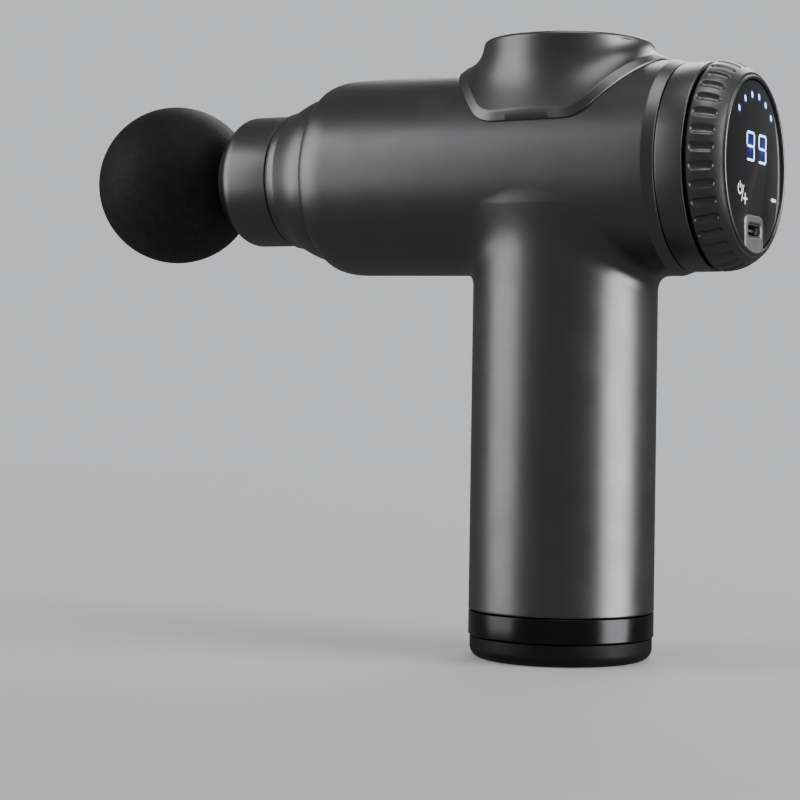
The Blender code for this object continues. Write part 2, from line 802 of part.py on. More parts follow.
def make_motor():
    """Outrunner motor on the frame's plate; its bell, its shaft and the crank turn together."""
    base, top = plate_high() + GAP, motor_top()
    make_stator()
    magnets = motor_radius() - BELL_WALL
    bore = MOTOR_SHAFT_RADIUS + GAP
    hub = bore + 1.3 * MM
    bell_outline = [
        (base + 1.2 * MM, magnets),
        (base + 1.2 * MM, motor_radius()),
        (top - 1.0 * MM, motor_radius()),
        (top, motor_radius() - 1.0 * MM),
        (top, bore),
        (top - 2 * BELL_ROOF, bore),
        (top - 2 * BELL_ROOF, hub),
        (top - BELL_ROOF, hub),
        (top - BELL_ROOF, magnets),
    ]
    bell = turned("motor_bell", bell_outline, material("bell_black", (0.05, 0.05, 0.06), 0.35, 0.9), "Z")
    shaft_outline = rod_outline(disc_top() - CRANK_DISC_THICKNESS, top + 0.2 * MM, MOTOR_SHAFT_RADIUS, GAP)
    shaft = turned("motor_shaft", shaft_outline, steel(), "Z", sides=MIDDLE_SIDES)
    bearing("motor_bearing_lower", plate_low(), plate_high(), bore, BEARING_RADIUS)
    bearing("motor_bearing_upper", top - 7.0 * MM, top - 4.4 * MM, bore, bearing_tube_radius() - GAP)
    return bell, shaft


def crank_radius():
    return STROKE / 2


def crank_pin_place():
    return BARREL_AXIS + Vector((crank_radius(), 0.0, 0.0))


def make_crank_disc():
    """Crank disc with its pin, and a counterweight rim opposite the pin."""
    low, high = disc_top() - CRANK_DISC_THICKNESS, disc_top()
    disc = turned("crank_disc", rod_outline(low, high, CRANK_DISC_RADIUS, EDGE), steel(), "Z")
    pin_outline = rod_outline(-ROD_THICKNESS / 2 - EDGE, high - CRANK_DISC_THICKNESS / 4, CRANK_PIN_RADIUS)
    pin = turned("pin", pin_outline, steel(), "Z", crank_pin_place(), MIDDLE_SIDES)
    bore_outline = rod_outline(low - CUT, high + CUT, MOTOR_SHAFT_RADIUS + GAP)
    bore = turned("bore", bore_outline, steel(), "Z", sides=MIDDLE_SIDES)
    lightening = block(
        "lightening",
        (CRANK_DISC_RADIUS * 0.72, -CRANK_DISC_RADIUS, AXIS_HEIGHT + low - CUT),
        (CRANK_DISC_RADIUS * 1.2, CRANK_DISC_RADIUS, AXIS_HEIGHT + high + CUT),
        steel(),
    )
    cut(disc, bore, lightening)
    if crank_radius() - CRANK_PIN_RADIUS < MOTOR_SHAFT_RADIUS + GAP:
        relief = turned("relief", rod_outline(low - GAP, high, MOTOR_SHAFT_RADIUS + GAP), steel(), "Z")
        pin = cut(pin, relief)
    return join(disc, pin)


def rod_tilt():
    return math.asin(crank_radius() / 2 / ROD_LENGTH)


def wrist_place():
    return crank_pin_place() + Vector((-ROD_LENGTH * math.cos(rod_tilt()), 0.0, 0.0))


def link_outline(first, first_radius, second, second_radius):
    """The (x, y) outline of a flat link: an arc round each of two eyes, joined by straight sides."""
    span = second - first
    heading = math.atan2(span.y, span.x)
    lean = math.acos((first_radius - second_radius) / span.length)
    steps = 10
    points = []
    for centre, radius, start, sweep in (
        (first, first_radius, heading + lean, math.tau - 2 * lean),
        (second, second_radius, heading - lean, 2 * lean),
    ):
        for step in range(steps + 1):
            angle = start + sweep * step / steps
            points.append((centre.x + radius * math.cos(angle), centre.y + radius * math.sin(angle)))
    return points


def make_connecting_rod():
    """Rod with a bearing eye on the crank pin and a wide eye at the wrist pin, tilted by half its swing."""
    look = material("rod_alloy", (0.5, 0.5, 0.52), 0.4, 1.0)
    half = ROD_THICKNESS / 2
    big = crank_pin_place()
    small_eye = WRIST_PIN_RADIUS + WRIST_SLACK
    small = big + Vector((-ROD_LENGTH * math.cos(rod_tilt()), -crank_radius() / 2, 0.0))
    link = link_outline(big, ROD_BEARING_RADIUS + ROD_WALL, small, small_eye + ROD_WALL)
    rod = extruded("connecting_rod", link, AXIS_HEIGHT - half, AXIS_HEIGHT + half, look)
    through = ROD_THICKNESS
    seat_outline = rod_outline(-through, through, ROD_BEARING_RADIUS + GAP)
    seat = turned("seat", seat_outline, look, "Z", big, MIDDLE_SIDES)
    slot = turned("slot", rod_outline(-through, through, small_eye), look, "Z", small, MIDDLE_SIDES)
    cut(rod, seat, slot)
    inner = CRANK_PIN_RADIUS + GAP
    ring = bearing("crank_pin_bearing", 0.2 * MM - half, half - 0.2 * MM, inner, ROD_BEARING_RADIUS, big)
    return rod, ring


def piston_front_x():
    return bush_front_x() + PISTON_FRONT_GAP


def make_piston():
    """Piston: a socket for the massage head in front, a solid middle, and a fork for the rod behind."""
    look = material("piston_nylon", (0.62, 0.62, 0.6), 0.45, 0.0)
    front = piston_front_x()
    wrist = wrist_place()
    socket_end = front + STEM_LENGTH + SOCKET_SPACE
    small_eye = WRIST_PIN_RADIUS + WRIST_SLACK + ROD_WALL
    body_end = wrist.x - small_eye - PISTON_MIDDLE_GAP
    body = turned(
        "piston",
        [
            (front, STEM_RADIUS + GAP),
            (front, PISTON_RADIUS - EDGE),
            (front + EDGE, PISTON_RADIUS),
            (body_end, PISTON_RADIUS),
            (body_end, 0.0),
            (socket_end, 0.0),
            (socket_end, STEM_RADIUS + GAP),
        ],
        look,
    )
    half = ROD_THICKNESS / 2 + FORK_CLEARANCE
    outer = half + FORK_ARM
    forks = []
    for side in (-1, 1):
        low, high = sorted((side * half, side * outer))
        near = (body_end - 2 * CUT, -FORK_WIDTH / 2, AXIS_HEIGHT + low)
        far = (wrist.x + FORK_REACH, FORK_WIDTH / 2, AXIS_HEIGHT + high)
        forks.append(block("fork", near, far, look))
    join(body, *forks)
    drill_outline = rod_outline(-outer - CUT, outer + CUT, WRIST_PIN_RADIUS + GAP)
    cut(body, turned("drill", drill_outline, look, "Z", wrist, SMALL_SIDES))
    pin_outline = rod_outline(-outer, outer, WRIST_PIN_RADIUS, GAP)
    return body, turned("wrist_pin", pin_outline, steel(), "Z", wrist, SMALL_SIDES)


# --- Massage head ---------------------------------------------------------------------------------


def ball_centre_x():
    """The ball's back stands just off the flange's front face."""
    return collar_front_x() - FLANGE_PROUD - NECK_LENGTH - BALL_RADIUS + BALL_SINK


def barb_rear_x():
    """Rear face of the stem's barb, just inside the ball's wall."""
    return ball_centre_x() + math.sqrt((BALL_RADIUS - BALL_WALL) ** 2 - BARB_RADIUS**2) - 2 * GAP


def make_head_stem():
    """Hard insert: a barbed core in the ball, the flange that shows behind it, and a plug with an O-ring."""
    front = collar_front_x() - FLANGE_PROUD
    flange_rear = bush_front_x() - 2 * GAP
    plug_end = piston_front_x() + STEM_LENGTH
    groove = plug_end - O_RING_SETBACK
    floor = STEM_RADIUS - O_RING_RADIUS
    barb = barb_rear_x()
    outline = [
        (barb - BARB_LENGTH, 0.0),
        (barb - BARB_LENGTH, CORE_RADIUS),
        (barb - BARB_LENGTH / 2, BARB_RADIUS),
        (barb, BARB_RADIUS),
        (barb, CORE_RADIUS),
        (front, CORE_RADIUS),
        (front, FLANGE_RADIUS - 0.5 * MM),
        (front + 0.5 * MM, FLANGE_RADIUS),
        (flange_rear, FLANGE_RADIUS),
        (flange_rear, STEM_RADIUS),
        (groove - O_RING_RADIUS - GAP, STEM_RADIUS),
        (groove - O_RING_RADIUS - GAP, floor - GAP),
        (groove + O_RING_RADIUS + GAP, floor - GAP),
        (groove + O_RING_RADIUS + GAP, STEM_RADIUS),
        (plug_end - MM, STEM_RADIUS),
        (plug_end, STEM_RADIUS - MM),
        (plug_end, 0.0),
    ]
    stem = turned("head_stem", outline, black_plastic())
    ring_radius = floor + O_RING_RADIUS * 0.55
    circle = arc((groove, ring_radius), (O_RING_RADIUS * 0.9, O_RING_RADIUS * 0.55), 0, 300, 5)
    rubber = material("o_ring_rubber", (0.03, 0.03, 0.03), 0.7, 0.0)
    o_ring = turned("stem_o_ring", circle, rubber, sides=MIDDLE_SIDES)
    return stem, o_ring


def make_massage_ball():
    """The soft hollow ball, with a round mouth at the back that the stem's core passes through."""
    centre = (ball_centre_x(), 0.0)
    mouth = CORE_RADIUS + GAP
    inner = BALL_RADIUS - BALL_WALL
    outer_end = math.degrees(math.asin(mouth / BALL_RADIUS))
    inner_end = math.degrees(math.asin(mouth / inner))
    outside = arc(centre, (BALL_RADIUS, BALL_RADIUS), 180, outer_end, 12)
    inside = arc(centre, (inner, inner), inner_end, 180, 9)
    outside[0] = (outside[0][0], 0.0)
    inside[-1] = (inside[-1][0], 0.0)
    return turned("massage_ball", outside + inside, material("ball_rubber", (0.03, 0.03, 0.03), 0.75, 0.0))


# --- Rear end -------------------------------------------------------------------------------------


def trim_radius():
    return BARREL_REAR_RADIUS - REAR_BEVEL_DROP


def trim_rear_x():
    return BARREL_REAR_X + GAP + TRIM_LENGTH


def bezel_front_x():
    return trim_rear_x() + GAP


def bezel_rear_x():
    return bezel_front_x() + BEZEL_LENGTH


def lens_face_x():
    return bezel_rear_x() - LENS_RECESS


def rear_spigot_radius():
    return trim_radius() - SHELL_WALL - GAP


def bezel_bore():
    """Inner radius of the trim ring and of the bezel's front edge."""
    return rear_spigot_radius() - TRIM_WALL


def make_rear_trim_ring():
    """Plain ring between housing and bezel: a spigot inside the housing, and a flange for the screws."""
    front, rear = BARREL_REAR_X + GAP, trim_rear_x()
    spigot = rear_spigot_radius()
    flange = bezel_bore() - SCREW_FLANGE_WIDTH
    outline = [
        (front - TRIM_SPIGOT_LENGTH, bezel_bore()),
        (front - TRIM_SPIGOT_LENGTH, spigot),
        (front, spigot),
        (front, trim_radius()),
        (rear, trim_radius()),
        (rear, flange),
        (rear - SCREW_FLANGE_THICKNESS, flange),
        (rear - SCREW_FLANGE_THICKNESS, bezel_bore()),
    ]
    return cut(turned("rear_trim_ring", outline, shell_metal()), *bezel_screw_holes())


def bezel_profile(share):
    """Outer (x, radius) of the bezel, from its edge at the trim ring (0) to its rim at the lens (1)."""
    front, rear = bezel_front_x(), bezel_rear_x()
    x = front + (rear - front) * share
    drop = trim_radius() - (LENS_RADIUS + GAP + BEZEL_RIM_WIDTH)
    return x, trim_radius() - drop * share**BEZEL_CURVE


def make_rib_cutter(angle):
    """A long round-ended cutter that leaves one shallow dimple in the bezel's flank."""
    start, end = bezel_profile(RIB_START), bezel_profile(RIB_START + RIB_LENGTH / BEZEL_LENGTH)
    along = Vector((end[0] - start[0], 0.0, end[1] - start[1]))
    bm = bmesh.new()
    bmesh.ops.create_uvsphere(bm, u_segments=4, v_segments=4, radius=1.0)
    bm.transform(Matrix.Rotation(math.pi / 2, 4, "Y"))
    stretch = Matrix.Diagonal((along.length / 2, RIB_WIDTH / 2, RIB_DEPTH, 1.0))
    tilt = Matrix.Rotation(math.atan2(start[1] - end[1], end[0] - start[0]), 4, "Y")
    place = Matrix.Translation(((start[0] + end[0]) / 2, 0.0, (start[1] + end[1]) / 2 + RIB_DEPTH / 5))
    bm.transform(Matrix.Translation(BARREL_AXIS) @ Matrix.Rotation(angle, 4, "X") @ place @ tilt @ stretch)
    return to_object("rib_cutter", bm, shell_metal())


def lens_seat_x():
    return lens_face_x() - LENS_THICKNESS - GAP


def make_bezel_ring():
    profile = [bezel_profile(share) for share in (0.0, 0.35, 0.6, 0.8, 0.92, 1.0)]
    rim_inner = LENS_RADIUS + GAP
    ledge = LENS_RADIUS - BEZEL_LEDGE
    flange = bezel_bore() - SCREW_FLANGE_WIDTH
    flange_rear = bezel_front_x() + SCREW_FLANGE_THICKNESS
    outline = [
        *profile,
        (bezel_rear_x(), rim_inner),
        (lens_seat_x(), rim_inner),
        (lens_seat_x(), ledge),
        (lens_seat_x() - TRIM_WALL, ledge),
        (flange_rear + GAP, bezel_bore() - GAP),
        (flange_rear, flange),
        (bezel_front_x(), flange),
    ]
    return turned("rear_bezel", outline, shell_metal(), sides=RIB_COUNT)


def make_rear_bezel():
    """Ribbed ring round the lens, in one piece with the tab that holds the charging socket."""
    bezel = make_bezel_ring()
    rim_inner = LENS_RADIUS + GAP
    half = USB_TAB_WIDTH / 2
    tab_low = -math.sqrt(bezel_bore() ** 2 - half**2)
    tab_front = lens_face_x() - USB_TAB_DEPTH
    tab = block(
        "tab",
        (tab_front + GAP, -half, AXIS_HEIGHT + tab_low),
        (lens_face_x() + 0.2 * MM, half, AXIS_HEIGHT + USB_TAB_TOP),
        shell_metal(),
    )
    web = block(
        "web",
        (tab_front + 2 * GAP, -half * 0.98, AXIS_HEIGHT - rim_inner - 0.7 * MM),
        (lens_face_x() + 0.1 * MM, half * 0.98, AXIS_HEIGHT + tab_low + 1.5 * MM),
        shell_metal(),
    )
    join(bezel, tab, web)
    ribs = [make_rib_cutter(math.tau * (rib + 0.5) / RIB_COUNT) for rib in range(RIB_COUNT)]
    clear = USB_HEIGHT / 2 + GAP
    port = block(
        "port",
        (tab_front - CUT, -USB_WIDTH / 2 - GAP, AXIS_HEIGHT + usb_level() - clear),
        (bezel_rear_x() + CUT, USB_WIDTH / 2 + GAP, AXIS_HEIGHT + usb_level() + clear),
        shell_metal(),
    )
    return cut(bezel, port, *ribs, *bezel_screw_holes())


def usb_level():
    return USB_TAB_TOP - USB_TAB_EDGE - USB_HEIGHT / 2


def make_usb_socket():
    """Charging socket: a metal shell, open to the rear, round a thin contact tongue."""
    face = lens_face_x() - USB_RECESS
    back = face - USB_DEPTH
    level = AXIS_HEIGHT + usb_level()
    half_width, half_height = USB_WIDTH / 2, USB_HEIGHT / 2
    shell = block(
        "usb_socket",
        (back, -half_width, level - half_height),
        (face, half_width, level + half_height),
        steel(),
    )
    mouth = block(
        "mouth",
        (back + 1.2 * MM, USB_WALL - half_width, level - half_height + USB_WALL),
        (face + CUT, half_width - USB_WALL, level + half_height - USB_WALL),
        steel(),
    )
    tongue = block(
        "tongue",
        (back + 0.8 * MM, -USB_TONGUE_WIDTH / 2, level - USB_TONGUE_THICKNESS / 2),
        (face - 0.9 * MM, USB_TONGUE_WIDTH / 2, level + USB_TONGUE_THICKNESS / 2),
        steel(),
    )
    cut(shell, mouth)
    return join(shell, tongue)


def make_display_lens():
    """Black glass disc, notched at the bottom for the charging tab."""
    face = lens_face_x()
    glass = material("lens_glass", (0.01, 0.01, 0.012), 0.06, 0.0)
    lens = turned("display_lens", rod_outline(face - LENS_THICKNESS, face, LENS_RADIUS, 0.2 * MM), glass)
    half = USB_TAB_WIDTH / 2 + GAP
    notch = block(
        "notch",
        (face - 2 * LENS_THICKNESS, -half, AXIS_HEIGHT - 2 * LENS_RADIUS),
        (face + LENS_THICKNESS, half, AXIS_HEIGHT + USB_TAB_TOP + GAP),
        glass,
    )
    return cut(lens, notch)


def board_x():
    """Rear face of the display board."""
    return lens_face_x() - LENS_THICKNESS - DISPLAY_DEPTH


def make_display_board():
    """Board behind the lens, resting on the bezel's inner flange."""
    radius = LENS_RADIUS - DISPLAY_BOARD_CLEARANCE
    face = board_x()
    front = bezel_front_x() + SCREW_FLANGE_THICKNESS + GAP
    board = turned("display_board", rod_outline(front, face, radius), circuit_green())
    half = USB_TAB_WIDTH / 2 + GAP
    slot = block(
        "slot",
        (front - CUT, -half, AXIS_HEIGHT - 2 * radius),
        (face + CUT, half, AXIS_HEIGHT + USB_TAB_TOP + 2 * GAP),
        circuit_green(),
    )
    return cut(board, slot)


def make_display_parts():
    """Digits, level lights and touch pads between the board and the lens."""
    face, lens_back = board_x() + GAP, lens_seat_x()
    block(
        "digit_module",
        (face, -DIGITS_WIDTH / 2, AXIS_HEIGHT + DIGITS_LOW),
        (lens_back, DIGITS_WIDTH / 2, AXIS_HEIGHT + DIGITS_HIGH),
        material("module_black", (0.03, 0.03, 0.03), 0.5, 0.0),
        GAP,
    )
    led_white = material("led_white", (0.8, 0.85, 1.0), 0.4, 0.0)
    for number in range(LED_COUNT):
        angle = math.radians(90 + (number - (LED_COUNT - 1) / 2) * LED_SPACING)
        centre = BARREL_AXIS + Vector((0.0, LED_CIRCLE * math.cos(angle), LED_CIRCLE * math.sin(angle)))
        outline = rod_outline(face, face + LED_HEIGHT, LED_RADIUS)
        turned(f"level_led_{number + 1}", outline, led_white, "X", centre, SMALL_SIDES)
    foam = material("pad_foam", (0.35, 0.35, 0.36), 0.8, 0.0)
    for name, side in (("touch_pad_plus", -1), ("touch_pad_minus", 1)):
        centre = BARREL_AXIS + Vector((0.0, side * TOUCH_PAD_REACH, TOUCH_PAD_LEVEL))
        turned(name, rod_outline(face, lens_back, TOUCH_PAD_RADIUS), foam, "X", centre, SMALL_SIDES)


def bezel_screw_places():
    """Middle line of each of the three screws that hold the bezel to the trim ring."""
    reach = bezel_bore() - SCREW_HEAD_RADIUS - GAP
    turns = [math.radians(90 + 120 * number) for number in range(3)]
    return [BARREL_AXIS + Vector((0.0, reach * math.cos(turn), reach * math.sin(turn))) for turn in turns]


def bezel_screw_holes():
    start = trim_rear_x() - 2 * SCREW_FLANGE_THICKNESS
    end = bezel_front_x() + SCREW_FLANGE_THICKNESS / 2 + GAP
    outline = rod_outline(start, end, SCREW_RADIUS + GAP)
    return [turned("drill", outline, steel(), "X", centre, SMALL_SIDES) for centre in bezel_screw_places()]


def make_bezel_screws():
    """Three screws from inside the trim ring, through its flange into the bezel's."""
    tip = bezel_front_x() + SCREW_FLANGE_THICKNESS / 2
    seat = trim_rear_x() - SCREW_FLANGE_THICKNESS - GAP
    for number, centre in enumerate(bezel_screw_places(), 1):
        outline = screw_outline(tip, seat, -SCREW_HEAD_HEIGHT)
        turned(f"bezel_screw_{number}", outline, steel(), "X", centre, SMALL_SIDES)


# --- Handle ---------------------------------------------------------------------------------------


def handle_bore():
    return HANDLE_RADIUS - SHELL_WALL


def make_base():
    """Gloss trim ring and the black end cap that the gun stands on."""
    ring_low = BASE_CAP_HEIGHT
    ring_high = BASE_CAP_HEIGHT + BASE_RING_HEIGHT
    ring = [
        (ring_low, handle_bore()),
        (ring_low, HANDLE_RADIUS - EDGE),
        (ring_low + EDGE, HANDLE_RADIUS),
        (ring_high - EDGE, HANDLE_RADIUS),
        (ring_high, HANDLE_RADIUS - EDGE),
        (ring_high, handle_bore()),
    ]
    turned("base_trim_ring", ring, material("dark_chrome", (0.08, 0.08, 0.085), 0.08, 1.0), "Z", Vector())
    shoulder = HANDLE_RADIUS - BASE_CAP_INSET
    cap_top = BASE_CAP_HEIGHT - GAP
    wall = handle_bore() - GAP
    spigot_top = handle_bottom() + BASE_SPIGOT_REACH
    rounding = arc((BASE_CAP_ROUND, shoulder - BASE_CAP_ROUND), (BASE_CAP_ROUND, BASE_CAP_ROUND), 180, 90, 5)
    cap = [
        (0.0, 0.0),
        *rounding,
        (cap_top, shoulder),
        (cap_top, wall),
        (spigot_top, wall - EDGE),
        (spigot_top, wall - BASE_SPIGOT_WALL),
        (BASE_CAP_FLOOR, wall - BASE_SPIGOT_WALL),
        (BASE_CAP_FLOOR, 0.0),
    ]
    turned("base_cap", cap, black_plastic(), "Z", Vector())


def cells_low():
    return handle_bottom() + BASE_SPIGOT_REACH + GAP + HOLDER_THICKNESS + GAP


def make_battery_pack():
    """Three cells side by side between two end holders, with the protection board on top."""
    reach = (CELL_RADIUS + GAP) / math.sin(math.pi / CELL_COUNT)
    cell_blue = material("cell_wrap", (0.05, 0.2, 0.4), 0.4, 0.0)
    low = cells_low()
    high = low + CELL_LENGTH
    tip = high + CELL_TIP_HEIGHT
    for number in range(CELL_COUNT):
        angle = math.radians(90) + math.tau * number / CELL_COUNT
        centre = Vector((reach * math.cos(angle), reach * math.sin(angle), 0.0))
        outline = rod_outline(low, high, CELL_RADIUS, EDGE)
        outline[-1:] = [(high, CELL_TIP_RADIUS), (tip, CELL_TIP_RADIUS), (tip, 0.0)]
        turned(f"battery_cell_{number + 1}", outline, cell_blue, "Z", centre, MIDDLE_SIDES)
    holder_radius = handle_bore() - 2 * GAP
    holder = material("holder_white", (0.7, 0.7, 0.68), 0.6, 0.0)
    bottom = low - GAP - HOLDER_THICKNESS
    top = tip + GAP
    for name, start in (("battery_holder_bottom", bottom), ("battery_holder_top", top)):
        outline = rod_outline(start, start + HOLDER_THICKNESS, holder_radius, EDGE)
        turned(name, outline, holder, "Z", Vector())
    board_low = top + HOLDER_THICKNESS + GAP
    board_high = board_low + PROTECTION_BOARD_THICKNESS
    board = rod_outline(board_low, board_high, PROTECTION_BOARD_RADIUS)
    turned("protection_board", board, circuit_green(), "Z", Vector())
    return board_high


def make_main_board():
    """Motor driver board under the crank, its long edges on the shell, with its capacitor and processor."""
    level = AXIS_HEIGHT + BOARD_LEVEL
    shell = barrel_radius(BOARD_FRONT_X) - SHELL_WALL - 2 * GAP
    half = math.sqrt(shell**2 - BOARD_LEVEL**2)
    low, high = (BOARD_FRONT_X, -half, level), (BOARD_REAR_X, half, level + BOARD_THICKNESS)
    block("main_board", low, high, circuit_green())
    chip = material("chip_black", (0.04, 0.04, 0.04), 0.5, 0.0)
    top = level + BOARD_THICKNESS + GAP
    side = CHIP_SIZE / 2
    block("motor_driver_chip", (-side, -side, top), (side, side, top + CHIP_HEIGHT), chip)
    can = material("capacitor_can", (0.1, 0.12, 0.2), 0.35, 0.4)
    outline = rod_outline(top, top + CAPACITOR_HEIGHT, CAPACITOR_RADIUS, GAP)
    turned("board_capacitor", outline, can, "Z", Vector((CAPACITOR_X, 0.0, 0.0)), SMALL_SIDES)
    return level


def make_leads(cells_top, board_level):
    """Leads inside the shell: cells to driver board, driver board to display, driver board to motor."""
    red = material("lead_red", (0.5, 0.03, 0.03), 0.5, 0.0)
    lift = board_level - cells_top
    rise = [
        (9 * MM, 6 * MM, cells_top + LEAD_END_GAP),
        (12 * MM, 6 * MM, cells_top + lift * 0.35),
        (12 * MM, 4 * MM, cells_top + lift * 0.7),
        (10 * MM, 3 * MM, board_level - LEAD_END_GAP),
    ]
    tube_along("battery_lead", rise, LEAD_RADIUS, red)
    level = board_level + BOARD_THICKNESS + LEAD_END_GAP
    to_display = [
        (24.6 * MM, -10 * MM, level),
        (26.5 * MM, -10 * MM, level + 4 * MM),
        (33 * MM, -8 * MM, level + 7 * MM),
        (bezel_front_x() + GAP, -6 * MM, level + 9 * MM),
    ]
    tube_along("display_lead", to_display, LEAD_RADIUS, material("lead_grey", (0.3, 0.3, 0.3), 0.5, 0.0))
    motor_side = motor_hole_radius() + 0.9 * MM
    to_motor = [
        (16 * MM, 12.5 * MM, level),
        (17.5 * MM, 13.0 * MM, level + 6 * MM),
        (motor_side, 5.0 * MM, AXIS_HEIGHT + 2 * MM),
        (motor_side, 2.0 * MM, AXIS_HEIGHT + plate_high()),
    ]
    tube_along("motor_lead", to_motor, LEAD_RADIUS, material("lead_yellow", (0.6, 0.45, 0.05), 0.5, 0.0))


# --- Assembly -------------------------------------------------------------------------------------


def main():
    clear_scene()
    make_main_housing()
    make_motor_cover()
    make_front_sleeve()
    cut(make_nose_collar(), *[screw_hole(place) for place in frame_screw_places()])
    make_guide_bush()
    make_mechanism_frame()
    make_frame_screws()

    bell, shaft = make_motor()
    crank_axis = joint_empty("crank_axis", BARREL_AXIS)
    attach(crank_axis, bell, shaft, make_crank_disc())

    rod_axis = joint_empty("rod_axis", crank_pin_place())
    attach(rod_axis, *make_connecting_rod())

    piston_axis = joint_empty("piston_axis", wrist_place())
    attach(piston_axis, *make_piston())

    head_axis = joint_empty("head_axis", BARREL_AXIS + Vector((ball_centre_x(), 0.0, 0.0)))
    attach(head_axis, *make_head_stem(), make_massage_ball())

    make_rear_trim_ring()
    make_rear_bezel()
    make_usb_socket()
    make_display_lens()
    make_display_board()
    make_display_parts()
    make_bezel_screws()
    make_base()
    cells_top = make_battery_pack()
    make_leads(cells_top, make_main_board())


main()
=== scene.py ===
"""Looks of the massage gun: fine outer surfaces, materials, light and camera.

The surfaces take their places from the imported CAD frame. The handle stands on Z, and the barrel lies along X
with the ball towards -X and the display towards +X. Lengths are in metres.
"""

import json
import math

import bmesh
import bpy
import numpy as np
from mathutils import Matrix, Vector


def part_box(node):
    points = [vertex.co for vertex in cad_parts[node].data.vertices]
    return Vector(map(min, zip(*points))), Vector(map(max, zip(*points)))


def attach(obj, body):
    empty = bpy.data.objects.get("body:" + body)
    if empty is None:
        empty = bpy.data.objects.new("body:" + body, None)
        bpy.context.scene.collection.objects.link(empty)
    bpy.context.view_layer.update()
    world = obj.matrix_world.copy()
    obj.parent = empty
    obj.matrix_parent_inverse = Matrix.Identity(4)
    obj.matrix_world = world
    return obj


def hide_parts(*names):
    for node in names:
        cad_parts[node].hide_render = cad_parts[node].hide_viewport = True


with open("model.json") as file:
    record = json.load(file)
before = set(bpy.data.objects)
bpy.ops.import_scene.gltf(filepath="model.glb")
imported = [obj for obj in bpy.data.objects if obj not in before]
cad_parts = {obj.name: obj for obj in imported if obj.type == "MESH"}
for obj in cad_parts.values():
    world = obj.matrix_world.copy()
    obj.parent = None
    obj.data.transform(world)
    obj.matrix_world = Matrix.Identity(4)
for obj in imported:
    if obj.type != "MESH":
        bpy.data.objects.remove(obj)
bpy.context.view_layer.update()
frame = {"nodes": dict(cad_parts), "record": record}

MM = 0.001
GAP = 0.3 * MM
TAU = math.tau
SEGMENTS = 192
SHARP_ANGLE = math.radians(38)

# Places read from the frame
HOUSING_LOW, HOUSING_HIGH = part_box("main_housing")
SLEEVE_LOW, SLEEVE_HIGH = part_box("front_sleeve")
COLLAR_LOW, COLLAR_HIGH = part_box("nose_collar")
TRIM_LOW, TRIM_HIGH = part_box("rear_trim_ring")
BEZEL_LOW, BEZEL_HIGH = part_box("rear_bezel")
LENS_LOW, LENS_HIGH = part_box("display_lens")
COVER_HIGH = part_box("motor_cover")[1]
RING_LOW, RING_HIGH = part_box("base_trim_ring")
CAP_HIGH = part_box("base_cap")[1]
BALL_LOW, BALL_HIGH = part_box("massage_ball")
STEM_LOW, STEM_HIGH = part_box("head_stem")
ORING_LOW, ORING_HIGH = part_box("stem_o_ring")
USB_LOW, USB_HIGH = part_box("usb_socket")

AXIS_Z = (TRIM_LOW.z + TRIM_HIGH.z) / 2
HANDLE_RADIUS = RING_HIGH.x
SHELL_WALL = 2.4 * MM

# Barrel
BARREL_FRONT_X = HOUSING_LOW.x
BARREL_REAR_X = HOUSING_HIGH.x
BARREL_REAR_RADIUS = HOUSING_HIGH.y
BARREL_TAPER = 0.9 * MM
BARREL_FRONT_RADIUS = BARREL_REAR_RADIUS - BARREL_TAPER
SHOULDER_LENGTH = 8.0 * MM
SHOULDER_DROP = 2.3 * MM
REAR_BEVEL_LENGTH = 2.8 * MM
REAR_BEVEL_DROP = 1.0 * MM
BLEND_SIZE = 5.0 * MM
HANDLE_TOP_DROP = 5.0 * MM
BLEND_END_DROP = 2.0 * MM
VOXEL_SIZE = 0.75 * MM

# Motor cover
COVER_RADIUS = 22.0 * MM
COVER_DOME = 0.9 * MM
COVER_TOP = COVER_HIGH.z - AXIS_Z - COVER_DOME
COVER_OUTLINE_RADIUS = 28.5 * MM
COVER_SKIRT_DROP = 10.7 * MM
COVER_PROUD = 1.4 * MM
COVER_BEVEL = 2.2 * MM
COVER_BLEND = 7.0 * MM
COVER_RIM_ROUND = 1.2 * MM
COVER_WALL = 1.6 * MM
COVER_INNER_DROP = 2.0 * MM
COVER_AZIMUTHS = 288
COVER_ROWS = 26

# Rear end
RIB_COUNT = 36
RIB_START = 0.14  # of the bezel's length
RIB_LENGTH = 6.0 * MM
RIB_WIDTH = 2.4 * MM
RIB_DEPTH = 0.75 * MM
BEZEL_CURVE = 2.6
BEZEL_FLANGE_RADIUS = 17.5 * MM
SPIGOT_WALL = 1.6 * MM
LENS_RADIUS = LENS_HIGH.y
USB_LEVEL = (USB_LOW.z + USB_HIGH.z) / 2 - AXIS_Z
USB_TAB_WIDTH = 13.0 * MM
USB_TAB_TOP = USB_LEVEL + 3.8 * MM

# Display symbols, across and above the barrel's axis
DIGITS_Y = 1.1 * MM
DIGITS_Z = 4.5 * MM
DIGIT_SPACING = 8.7 * MM
DIGIT_WIDTH = 5.2 * MM
DIGIT_HEIGHT = 6.8 * MM
STROKE_WIDTH = 0.55 * MM
DOT_COUNT = 6
DOT_CIRCLE = 17.6 * MM
DOT_SPACING = 16.8  # degrees
DOT_WIDTH = 0.95 * MM
DOT_HEIGHT = 1.7 * MM
DOT_LEAN = 0.35 * MM
# Size of the painted glow on the glass round each level light
DOT_GLOW = 2.2 * MM
PLUS_Y = -8.7 * MM
MINUS_Y = 14.4 * MM
KEY_Z = -7.6 * MM
KEY_RADIUS = 5.2 * MM
SYMBOL_PROUD = 0.05 * MM
SYMBOL_SUNK = 0.02 * MM


# --- Mesh helpers ---------------------------------------------------------------------------------


